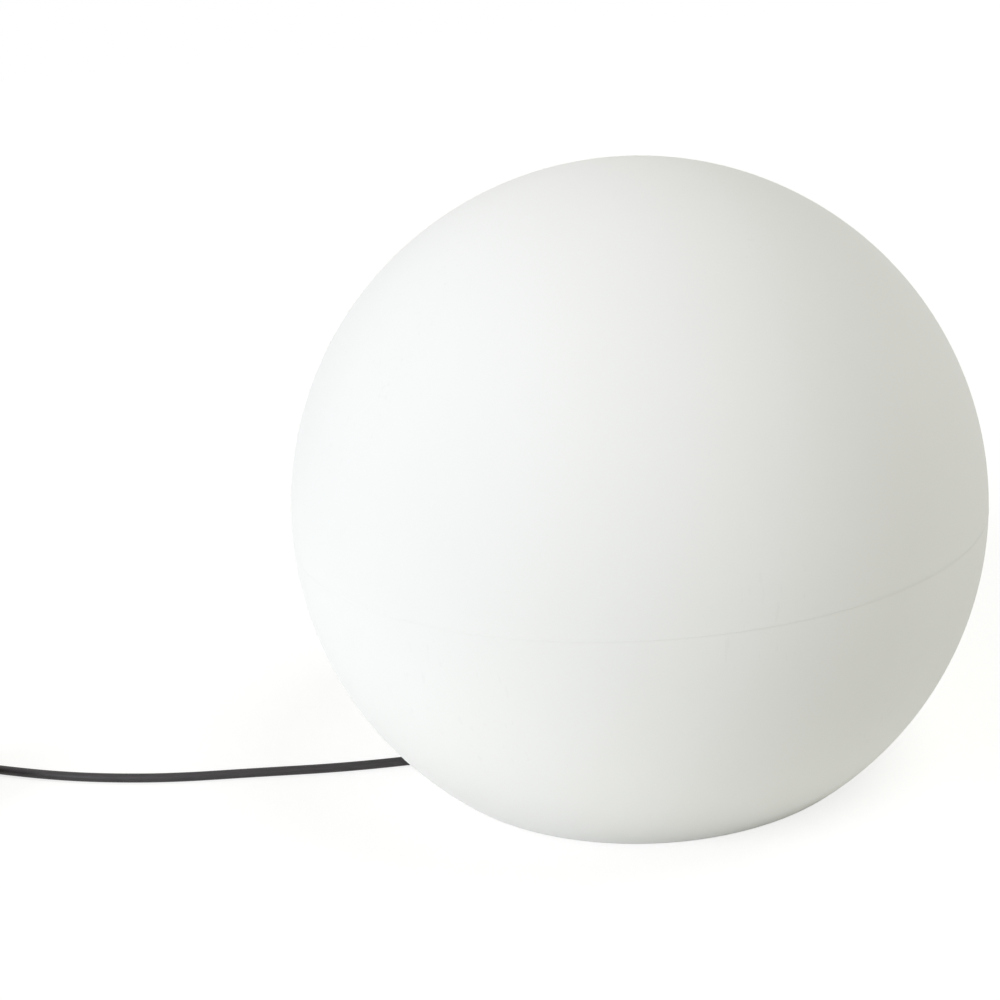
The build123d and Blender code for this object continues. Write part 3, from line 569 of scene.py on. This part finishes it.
class GlobeSettings(bpy.types.PropertyGroup):
    radius: length_setting("Radius", "Radius of the globe's sphere", GLOBE_RADIUS)
    wall: length_setting("Wall", "Thickness of the moulding's wall", 0.0035)
    foot_rounding: length_setting(
        "Foot rounding", "Radius where the sphere turns into the standing ring", 0.0125
    )
    seam_width: length_setting(
        "Seam width", "Width of the raised line that the mould leaves", 0.0016
    )
    seam_height: length_setting("Seam height", "How far the mould's line stands out", 0.00016)
    arch_width: length_setting(
        "Arch width", "Width of the cord's way through the standing ring", 0.076
    )
    arch_height: length_setting(
        "Arch height", "Height of the cord's way through the standing ring", 0.012
    )
    arch_direction: FloatProperty(
        name="Arch direction",
        description="Where the cord's way points, seen from above",
        default=radians(170),
        subtype="ANGLE",
    )
    segments: count_setting("Segments", "Faces round the globe", 192, least=32)
    colour: colour_setting("Colour", "Colour of the moulding", (0.9, 0.9, 0.885))


class GLOBE_LIGHT_OT_globe(bpy.types.Operator):
    """Make the globe's moulding"""

    bl_idname = "globe_light.globe"
    bl_label = "Globe"

    def execute(self, context):
        sizes = context.scene.globe_light_globe
        shape = globe_group(ball_group(turned_group()), arch_group())
        finish = globe_finish(sizes.colour, CENTRE_HEIGHT)
        globe = grown(
            "globe_moulding",
            shape,
            {
                "Radius": sizes.radius,
                "Centre Height": CENTRE_HEIGHT,
                "Wall": sizes.wall,
                "Foot Rounding": sizes.foot_rounding,
                "Seam Width": sizes.seam_width,
                "Seam Height": sizes.seam_height,
                "Ring Start": RECESS_RADIUS,
                "Arch Width": sizes.arch_width,
                "Arch Height": sizes.arch_height,
                "Arch Direction": sizes.arch_direction,
                "Segments": sizes.segments,
                "Finish": finish,
            },
        )
        put_on(globe, "globe", "globe_white", "globe_upper", "globe_lower")
        dress(finish, "globe_recess")
        return {"FINISHED"}


# Lamp base, holder and bulb ----------------------------------------------------------------------


class BaseSettings(bpy.types.PropertyGroup):
    housing_colour: colour_setting("Housing", "Colour of the base and its cover", (0.2, 0.2, 0.21))
    rubber_colour: colour_setting(
        "Rubber", "Colour of the gaskets, the seals and the cord in the base", (0.032, 0.03, 0.032)
    )
    gland_colour: colour_setting("Gland", "Colour of the cable gland", (0.045, 0.045, 0.05))
    screw_radius: length_setting("Screw radius", "Radius of the cover's screws", 0.00175)
    head_radius: length_setting("Head radius", "Radius of the countersunk heads", 0.0034)
    screw_circle: length_setting(
        "Screw circle", "Radius of the circle that the screws stand on", 0.0455
    )
    screw_count: count_setting("Screws", "Number of screws in the cover", 4, least=1)


def screws_group():
    """Countersunk screws with a cross recess, on a circle, with their heads down."""
    t = Tree.shape(
        "Cover screws",
        {
            "Radius": 0.00175,
            "Head Radius": 0.0034,
            "Length": 0.014,
            "Recess Width": 0.0008,
            "Recess Depth": 0.0011,
            "Circle": 0.0455,
            "Count": 4,
            "Height": 0.004,
            "Finish": "Material",
        },
    )
    head_faces, shank_faces = 32, 24
    recess_span = 1.1  # length of the cross, in head radii
    first_turn, turn_step = 0.35, 0.7  # no two crosses stand alike

    def united(parts):
        return t(
            "GeometryNodeMeshBoolean", {"Mesh 2": parts}, operation="UNION", solver="EXACT"
        )

    given = t.given
    tip_r = t.math("DIVIDE", given["Radius"], 2.0)
    head_h = t.math("SUBTRACT", given["Head Radius"], tip_r)
    head = t(
        "GeometryNodeMeshCone",
        {
            "Vertices": head_faces,
            "Radius Top": tip_r,
            "Radius Bottom": given["Head Radius"],
            "Depth": head_h,
        },
    )
    shank_z = t.math("DIVIDE", head_h, 3.0)
    shank = t(
        "GeometryNodeMeshCylinder",
        {
            "Vertices": shank_faces,
            "Radius": given["Radius"],
            "Depth": t.math("SUBTRACT", given["Length"], shank_z),
        },
    )
    shank_middle = t.math("DIVIDE", t.math("ADD", given["Length"], shank_z), 2.0)
    body = united([head, t.moved(shank, translation=t.vector(z=shank_middle))])
    span = t.math("MULTIPLY", given["Head Radius"], recess_span)
    width = given["Recess Width"]
    depth = t.math("MULTIPLY", given["Recess Depth"], 2.0)
    cross = united(
        [
            t("GeometryNodeMeshCube", {"Size": t.vector(*size)})
            for size in ((span, width, depth), (width, span, depth))
        ]
    )
    circle = t("GeometryNodeMeshCircle", {"Vertices": given["Count"], "Radius": given["Circle"]})
    cross_turn = t.math("MULTIPLY_ADD", t("GeometryNodeInputIndex"), turn_step, first_turn)
    many = t(
        "GeometryNodeInstanceOnPoints",
        {
            "Points": circle,
            "Instance": t.cut(body, cross, solver="EXACT"),
            "Rotation": t.vector(z=cross_turn),
        },
    )
    half_step = t.math("DIVIDE", pi, given["Count"])
    placed = t.moved(
        many, translation=t.vector(z=given["Height"]), rotation=t.vector(z=half_step)
    )
    return t.finished(placed, given["Finish"])


class GLOBE_LIGHT_OT_base(bpy.types.Operator):
    """Finish the lamp base, its cover, gaskets and gland, and make the cover's screws"""

    bl_idname = "globe_light.base"
    bl_label = "Lamp base"

    def execute(self, context):
        look = context.scene.globe_light_base
        dress(
            surface("Base plastic", look.housing_colour, 0.55, grain=0.35, fine_scale=2600.0),
            "base_housing",
            "terminal_cover",
        )
        rubber = surface("Gasket rubber", look.rubber_colour, 0.62, tone=0.08, grain=0.2)
        dress(rubber, "base_gasket", "cover_gasket", "gland_ring", "gland_seal", "cord_entry")
        dress(
            surface("Gland nylon", look.gland_colour, 0.38, grain=0.1, ripple=0.6),
            "gland_body",
            "gland_cap",
            "gland_locknut",
        )
        zinc = surface(
            "Zinc plate", (0.65, 0.66, 0.68), 0.32, metallic=1.0, tone=0.06, grain=0.08
        )
        dress(zinc, "holder_nipple", "nipple_nuts", "terminal_block_screw", "terminal_screws")
        dress(zinc, "holder_screws", "bulb_contact")
        low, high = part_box("cover_screws")
        screws = grown(
            "cover_screws_cross",
            screws_group(),
            {
                "Radius": look.screw_radius,
                "Head Radius": look.head_radius,
                "Length": high[2] - low[2],
                "Circle": look.screw_circle,
                "Count": look.screw_count,
                "Height": low[2],
                "Finish": zinc,
            },
        )
        put_on(screws, "base", "zinc_steel", "cover_screws")
        return {"FINISHED"}


class GLOBE_LIGHT_OT_inside(bpy.types.Operator):
    """Finish the terminals, the lamp holder, its wires and the bulb"""

    bl_idname = "globe_light.inside"
    bl_label = "Holder and bulb"

    def execute(self, context):
        dress(surface("Terminal nylon", (0.85, 0.84, 0.8), 0.45, grain=0.1), "terminal_block")
        dress(surface("Steatite", (0.82, 0.8, 0.75), 0.3, grain=0.12, tone=0.05), "holder_core")
        dress(
            surface("Brass", (0.8, 0.6, 0.3), 0.28, metallic=1.0, tone=0.07, grain=0.08),
            "terminal_sleeves",
            "centre_contact",
            "side_contact",
            "thread_sleeve",
        )
        dress(
            surface("Holder thermoset", (0.03, 0.03, 0.032), 0.25, grain=0.08, coat=0.2),
            "holder_dome",
            "holder_skirt",
        )
        live = surface("Brown insulation", (0.2, 0.09, 0.04), 0.4, grain=0.05)
        neutral = surface("Blue insulation", (0.03, 0.12, 0.45), 0.4, grain=0.05)
        dress(live, "wire_live", "cord_core_live")
        dress(neutral, "wire_neutral", "cord_core_neutral")
        dress(surface("Bulb housing", (0.86, 0.86, 0.85), 0.35, grain=0.06), "bulb_housing")
        dress(
            surface("Bulb diffuser", (0.9, 0.9, 0.88), 0.4, tone=0.01, grain=0.04), "bulb_dome"
        )
        dress(
            surface("Nickel plate", (0.74, 0.72, 0.68), 0.22, metallic=1.0, grain=0.06),
            "bulb_cap",
        )
        dress(surface("Black glass", (0.01, 0.01, 0.012), 0.1, grain=0.03), "bulb_insulator")
        dress(surface("Green laminate", (0.04, 0.2, 0.08), 0.35, grain=0.05), "driver_board")
        dress(surface("White solder mask", (0.85, 0.85, 0.83), 0.3, grain=0.04), "led_board")
        dress(surface("Phosphor", (0.9, 0.72, 0.15), 0.5, grain=0.1), "led_chips")
        return {"FINISHED"}


# Cord and plug -----------------------------------------------------------------------------------

CORD_EXIT = (-0.0768, 0.0, 0.019)
# From the gland down to the floor, through the arch and out of the view
LEAD_POINTS = [
    CORD_EXIT,
    (-0.089, 0.0, 0.019),
    (-0.116, 0.0001, 0.0035),
    (-0.176, 0.0026, 0.0035),
    (-0.236, 0.009, 0.0035),
    (-0.3, 0.0219, 0.0035),
    (-0.362, 0.0333, 0.0035),
    (-0.412, 0.0492, 0.0035),
    (-0.452, 0.0662, 0.0035),
    (-0.492, 0.0876, 0.0035),
    (-0.53, 0.1104, 0.0035),
]
# From the top of the coil down to the plug
TAIL_POINTS = [
    (-0.5701, 0.0183, 0.0263),
    (-0.5503, -0.0048, 0.022),
    (-0.5458, -0.0304, 0.013),
    (-0.5485, -0.0522, 0.013),
]
# The plug's body from its strain relief to its pins: distance from the strain relief's start,
# half width, half depth and squareness
PLUG_SECTIONS = [
    (0.028, 0.0098, 0.008, 2.6),
    (0.0288, 0.0108, 0.0088, 2.6),
    (0.033, 0.0124, 0.0097, 2.8),
    (0.038, 0.015, 0.0112, 3.0),
    (0.0425, 0.0176, 0.0125, 3.2),
    (0.047, 0.0183, 0.01285, 3.4),
    (0.052, 0.0174, 0.0125, 3.4),
    (0.058, 0.0171, 0.0124, 3.4),
    (0.064, 0.0179, 0.0128, 3.4),
    (0.0705, 0.01845, 0.01295, 3.4),
    (0.0722, 0.0181, 0.0126, 3.4),
    (0.073, 0.0173, 0.0118, 3.4),
]


class CordSettings(bpy.types.PropertyGroup):
    diameter: length_setting("Diameter", "Diameter of the cord's rubber jacket", 0.007)
    length: length_setting("Length", "Length of the cord from the gland to its plug", 5.0)
    coil_radius: length_setting("Coil radius", "Radius of the coil's outermost turn", 0.0536)
    coil_pitch: length_setting(
        "Coil pitch", "Distance between turns that lie side by side or on each other", 0.0076
    )
    coil_turns: count_setting("Turns", "Turns in each layer of the coil", 4, least=1)
    coil_layers: count_setting("Layers", "Layers in the coil, an even number", 4, least=2)
    colour: colour_setting("Colour", "Colour of the cord's jacket", (0.028, 0.0245, 0.0255))


def coil_points(sizes, start, heading):
    """The coil's turns: in, up, out, up and so on, leaving room beside each climb."""
    steps = 16
    sideways = 0.09  # how far a climb swings out of its turn, in pitches
    along = Vector(heading).normalized()
    left = Vector((-along.y, along.x, 0.0))
    centre = Vector(start) + along * sizes.diameter + left * sizes.coil_radius
    pitch, turns = sizes.coil_pitch, sizes.coil_turns
    spots = []
    for layer in range(sizes.coil_layers):
        inward = layer % 2 == 0
        for step in range(steps * turns):
            drawn_in = step / steps if inward else turns - step / steps
            spots.append((sizes.coil_radius - pitch * drawn_in, layer * pitch))
        if layer < sizes.coil_layers - 1:
            edge = sizes.coil_radius - pitch * (turns if inward else 0)
            for step in range(steps // 2):
                share = 2 * step / steps
                swing = sideways * pitch * sin(pi * share)
                climb = share * share * (3 - 2 * share)
                spots.append((edge + (-swing if inward else swing), (layer + climb) * pitch))
    spots.append((sizes.coil_radius, (sizes.coil_layers - 1) * pitch))
    points = []
    for step, (radius, height) in enumerate(spots):
        angle = tau * step / steps
        reach = radius / cos(pi / steps)
        point = centre - left * reach * cos(angle) + along * reach * sin(angle)
        points.append((point.x, point.y, start[2] + height))
    return points


def rubber_cord_finish(colour):
    """Matt black rubber: fine grain, dust in soft patches and lines that run along the cord."""
    streaks = (900.0, 13.0, 1.0)  # how often they change along the cord and round it
    darkest, lightest = 0.72, 1.28
    line_count, line_height = 18.0, 0.12
    material, t, shader = start_material("Cord rubber")
    toned = t.use(finish_group("tone"), colour=(*colour, 1.0), amount=0.08, scale=60.0)
    skin_map = t("ShaderNodeTexCoord").outputs["UV"]
    stretched = t("ShaderNodeMapping", {"Vector": skin_map, "Scale": streaks})
    drawn = t.noise(stretched, 1.0, 3.0)
    streaked = t.tinted(toned, t.ramp(drawn, *NOISE_SPAN, darkest, lightest))
    round_it = t("ShaderNodeSeparateXYZ", {"Vector": skin_map}).outputs["Y"]
    lines = t.math("SINE", t.math("MULTIPLY", round_it, line_count * tau))
    skin = t.use(finish_group("grain"), fine_scale=1800.0, ripple_scale=220.0, ripple=0.8)
    height = t.math("MULTIPLY_ADD", lines, line_height, t.math("ADD", skin, drawn))
    gloss = t.use(finish_group("gloss"), roughness=0.55, amount=0.12, scale=80.0)
    feed_shader(t, shader, streaked, gloss, height, strength=0.22, depth=0.0003)
    return material


def boot_group(turned):
    """A strain relief along Z: a tapered core with ribs that are repeated along it."""
    t = Tree.shape(
        "Strain relief",
        {
            "Length": 0.028,
            "Tip Radius": 0.005,
            "Root Radius": 0.0085,
            "Groove Depth": 0.0012,
            "Groove Width": 0.002,
            "Ribs": 6,
            "Finish": "Material",
        },
    )
    faces_round = 48
    unit_r = 0.005  # radius of the one rib that is widened for each place
    unit_thick, rib_rounding, fillet_steps = 0.002, 0.0006, 4
    widened_at = 0.4  # where on its pitch a rib takes the taper's radius

    given = t.given
    core = t(
        "GeometryNodeMeshCone",
        {
            "Vertices": faces_round,
            "Radius Bottom": t.math("SUBTRACT", given["Tip Radius"], given["Groove Depth"]),
            "Radius Top": t.math("SUBTRACT", given["Root Radius"], given["Groove Depth"]),
            "Depth": given["Length"],
        },
    )
    pitch = t.math("DIVIDE", given["Length"], given["Ribs"])
    rib_length = t.math("SUBTRACT", pitch, given["Groove Width"])
    outline = t.moved(t.box_outline(unit_thick, 1.0), scale=t.vector(1.0, rib_length, 1.0))
    rounded = t.filleted(outline, rib_rounding, fillet_steps)
    unit = t.moved(rounded, translation=(unit_r - unit_thick / 2, 0.0, 0.0))
    rib = t.use(turned, outline=unit, segments=faces_round)
    line = t(
        "GeometryNodeMeshLine",
        {
            "Count": given["Ribs"],
            "Start Location": t.vector(z=t.math("DIVIDE", rib_length, 2.0)),
            "Offset": t.vector(z=pitch),
        },
    )
    number = t("GeometryNodeInputIndex")
    share = t.math("DIVIDE", t.math("ADD", number, widened_at), given["Ribs"])
    taper = t.math("SUBTRACT", given["Root Radius"], given["Tip Radius"])
    radius = t.math("MULTIPLY_ADD", share, taper, given["Tip Radius"])
    widen = t.math("DIVIDE", radius, unit_r)
    ribs = t(
        "GeometryNodeInstanceOnPoints",
        {"Points": line, "Instance": rib, "Scale": t.vector(widen, widen, 1.0)},
    )
    joined = t("GeometryNodeJoinGeometry", {"Geometry": [core, ribs]})
    return t.finished(joined, given["Finish"])


def plug_frame():
    """Where the plug's strain relief starts, with Z along the plug and X across its pins."""
    end = Vector(TAIL_POINTS[-1])
    along = (end - Vector(TAIL_POINTS[-2])).normalized()
    up = Vector((0.0, 0.0, 1.0))
    across = up.cross(along)
    matrix = Matrix((across, up, along)).transposed().to_4x4()
    matrix.translation = end
    return matrix


def flowing(sections):
    """Sections between the given ones, on curves that pass through them."""
    steps = 5
    rows = [sections[0], *sections, sections[-1]]
    rings = []
    for before, start, end, after in zip(rows, rows[1:], rows[2:], rows[3:]):
        for step in range(steps):
            share = step / steps
            rings.append(
                [
                    b
                    + 0.5 * share * (c - a)
                    + share**2 * (a - 2.5 * b + 2 * c - 0.5 * d)
                    + share**3 * (1.5 * b - 0.5 * a - 1.5 * c + 0.5 * d)
                    for a, b, c, d in zip(before, start, end, after)
                ]
            )
    return rings + [sections[-1]]


def lofted(name, sections, matrix):
    """A smooth closed body through sections: height, half width, half depth and squareness."""
    around = 64
    rings = flowing(sections)
    verts, faces = [], []
    for height, half_w, half_d, square in rings:
        for step in range(around):
            angle = tau * step / around
            x, y = cos(angle), sin(angle)
            power = 2.0 / square
            verts.append(
                (
                    half_w * abs(x) ** power * (1 if x >= 0 else -1),
                    half_d * abs(y) ** power * (1 if y >= 0 else -1),
                    height,
                )
            )
    for row in range(len(rings) - 1):
        low, high = row * around, (row + 1) * around
        for step in range(around):
            after = (step + 1) % around
            faces.append((low + step, low + after, high + after, high + step))
    faces.append(tuple(reversed(range(around))))
    faces.append(tuple(range((len(rings) - 1) * around, len(rings) * around)))
    mesh = bpy.data.meshes.new(name)
    mesh.from_pydata(verts, [], faces)
    mesh.shade_smooth()
    mesh.set_sharp_from_angle(angle=radians(40))
    mesh.transform(matrix)
    return added(name, mesh)


class GLOBE_LIGHT_OT_cord(bpy.types.Operator):
    """Lay the cord along the floor and in its coil, and make its plug"""

    bl_idname = "globe_light.cord"
    bl_label = "Cord and plug"

    def execute(self, context):
        sizes = context.scene.globe_light_cord
        heading = Vector(LEAD_POINTS[-1]) - Vector(LEAD_POINTS[-2])
        route = LEAD_POINTS + coil_points(sizes, LEAD_POINTS[-1], heading) + TAIL_POINTS
        curve = bpy.data.curves.new("cord", "CURVE")
        curve.dimensions = "3D"
        curve.bevel_depth = sizes.diameter / 2
        curve.bevel_resolution = 5
        curve.resolution_u = 6
        curve.use_fill_caps = True
        spline = curve.splines.new("NURBS")
        spline.points.add(len(route) - 1)
        for point, spot in zip(spline.points, route):
            point.co = (*spot, 1.0)
        spline.order_u = 3
        spline.use_endpoint_u = True
        cord = added("cord", curve)
        curve.materials.append(rubber_cord_finish(sizes.colour))
        put_on(cord, "base", "black_rubber", "cord_lead", "cord_coil", "cord_tail")

        place = plug_frame()
        moulded = surface(
            "Plug rubber", sizes.colour, 0.5, grain=0.3, fine_scale=2200.0, tone=0.06
        )
        boot = grown("plug_boot_ribbed", boot_group(turned_group()), {"Finish": moulded})
        boot.data.transform(place)
        put_on(boot, "base", "black_rubber", "plug_boot")
        body = lofted("plug_body_moulded", PLUG_SECTIONS, place)
        body.data.materials.append(moulded)
        put_on(body, "base", "black_rubber", "plug_body")
        dress(
            surface("Pin nickel", (0.72, 0.7, 0.66), 0.2, metallic=1.0, grain=0.05), "plug_pins"
        )
        return {"FINISHED"}


# Studio ------------------------------------------------------------------------------------------


class StageSettings(bpy.types.PropertyGroup):
    key: strength_setting("Key light", "Strength of the soft light at the front left", 2.03)
    top: strength_setting("Top light", "Strength of the soft light from above", 1.07)
    surround: strength_setting("Surround", "Strength of the light from all round", 0.322)
    key_colour: colour_setting("Key colour", "Colour of the key light", (0.88, 0.905, 1.0))
    surround_colour: colour_setting(
        "Surround colour", "Colour of the light from all round", (1.0, 1.0, 0.88)
    )
    floor_colour: colour_setting(
        "Floor colour", "Colour of the paper that the light stands on", (0.9, 0.9, 0.86)
    )


CAMERA_PLACE = (-0.25717, -1.06303, 0.5596)
CAMERA_AXES = (
    (0.98203, 0.12665, -0.13993),
    (-0.17229, 0.29892, -0.93860),
    (-0.07705, 0.94584, 0.31537),
)
CAMERA_LENS = 56.264  # on a sensor 36 mm wide
# Where the lamps stand, as the camera sees them: to the right, up and towards the camera
KEY_SIDE = (-0.863, 0.087, 0.498)
TOP_SIDE = (0.321, 0.866, 0.383)
LAMP_ANGLE = radians(30)

WHITE = (1.0, 1.0, 1.0)
FLOOR_HALF = 15.0
# The camera sees the floor as white light of this strength, to this share, over lit paper
SHOWN_WHITE, SHOWN_SHARE = 1.19, 0.65


def soft_lamp(name, side, strength, colour):
    """A far lamp as wide as a big softbox."""
    lamp = bpy.data.lights.new(name, "SUN")
    lamp.angle = LAMP_ANGLE
    lamp.energy = strength
    lamp.color = colour
    direction = Matrix(CAMERA_AXES) @ Vector(side)
    added(name, lamp).matrix_world = direction.to_track_quat("Z", "Y").to_matrix().to_4x4()


def shown_share(t, share):
    """Share for the rays that show the studio: from the camera, off gloss and through glass."""
    rays = t("ShaderNodeLightPath")
    shown = t.math("MAXIMUM", rays.outputs["Is Camera Ray"], rays.outputs["Is Glossy Ray"])
    shown = t.math("MAXIMUM", shown, rays.outputs["Is Transmission Ray"])
    return t.math("MULTIPLY", shown, share)


class GLOBE_LIGHT_OT_stage(bpy.types.Operator):
    """Set the camera, the lamps, the floor and the surround"""

    bl_idname = "globe_light.stage"
    bl_label = "Studio"

    def execute(self, context):
        look = context.scene.globe_light_stage
        scene = context.scene
        camera = added("Camera", bpy.data.cameras.new("Camera"))
        camera.data.sensor_width = 36.0
        camera.data.sensor_fit = "HORIZONTAL"
        camera.data.lens = CAMERA_LENS
        camera.data.clip_end = 50.0
        camera.matrix_world = Matrix.Translation(CAMERA_PLACE) @ Matrix(CAMERA_AXES).to_4x4()
        scene.camera = camera

        soft_lamp("Key", KEY_SIDE, look.key, look.key_colour)
        soft_lamp("Top", TOP_SIDE, look.top, WHITE)

        world = bpy.data.worlds.new("Studio")
        world.use_nodes = True
        world.node_tree.nodes.clear()
        scene.world = world
        t = Tree(world.node_tree)
        lit = t(
            "ShaderNodeBackground",
            {"Color": (*look.surround_colour, 1.0), "Strength": look.surround},
        )
        white = t("ShaderNodeBackground", {"Color": (*WHITE, 1.0), "Strength": 1.0})
        both = t("ShaderNodeMixShader", {0: shown_share(t, 1.0), 1: lit, 2: white})
        t.feed(t("ShaderNodeOutputWorld").inputs["Surface"], both)

        floor_mesh = bpy.data.meshes.new("Floor")
        signs = ((-1, -1), (1, -1), (1, 1), (-1, 1))
        corners = [(x * FLOOR_HALF, y * FLOOR_HALF, 0) for x, y in signs]
        floor_mesh.from_pydata(corners, [], [(0, 1, 2, 3)])
        floor = added("Floor", floor_mesh)
        material, t, shader = start_material("Floor paper")
        shader.inputs["Base Color"].default_value = (*look.floor_colour, 1.0)
        shader.inputs["Roughness"].default_value = 0.9
        shader.inputs["Specular IOR Level"].default_value = 0.1
        white = t("ShaderNodeEmission", {"Color": (*WHITE, 1.0), "Strength": SHOWN_WHITE})
        both = t("ShaderNodeMixShader", {0: shown_share(t, SHOWN_SHARE), 1: shader, 2: white})
        t.feed(material.node_tree.nodes["Material Output"].inputs["Surface"], both)
        floor_mesh.materials.append(material)
        scene.view_settings.view_transform = "Standard"
        return {"FINISHED"}


# Add-on ------------------------------------------------------------------------------------------


class GLOBE_LIGHT_PT_panel(bpy.types.Panel):
    """Lists the steps that make the light, and the sizes and colours that they take"""

    bl_idname = "GLOBE_LIGHT_PT_panel"
    bl_label = "Globe Light"
    bl_space_type = "VIEW_3D"
    bl_region_type = "UI"
    bl_category = "Globe Light"

    def draw(self, context):
        for step, settings in STEPS:
            box = self.layout.box()
            box.operator(step.bl_idname)
            if settings:
                group = getattr(context.scene, settings)
                for name in group.bl_rna.properties.keys():
                    if name not in ("rna_type", "name"):
                        box.prop(group, name)


STEPS = [
    (GLOBE_LIGHT_OT_stage, "globe_light_stage"),
    (GLOBE_LIGHT_OT_cord, "globe_light_cord"),
    (GLOBE_LIGHT_OT_globe, "globe_light_globe"),
    (GLOBE_LIGHT_OT_base, "globe_light_base"),
    (GLOBE_LIGHT_OT_inside, None),
]
GROUPS = {
    "globe_light_stage": StageSettings,
    "globe_light_cord": CordSettings,
    "globe_light_globe": GlobeSettings,
    "globe_light_base": BaseSettings,
}


def register():
    for name, group in GROUPS.items():
        bpy.utils.register_class(group)
        setattr(bpy.types.Scene, name, PointerProperty(type=group))
    for step, _ in STEPS:
        bpy.utils.register_class(step)
    bpy.utils.register_class(GLOBE_LIGHT_PT_panel)


def unregister():
    bpy.utils.unregister_class(GLOBE_LIGHT_PT_panel)
    for step, _ in reversed(STEPS):
        bpy.utils.unregister_class(step)
    for name, group in GROUPS.items():
        delattr(bpy.types.Scene, name)
        bpy.utils.unregister_class(group)


def main():
    register()
    for step, _ in STEPS:
        family, action = step.bl_idname.split(".")
        getattr(getattr(bpy.ops, family), action)()


if __name__ == "__main__":
    main()
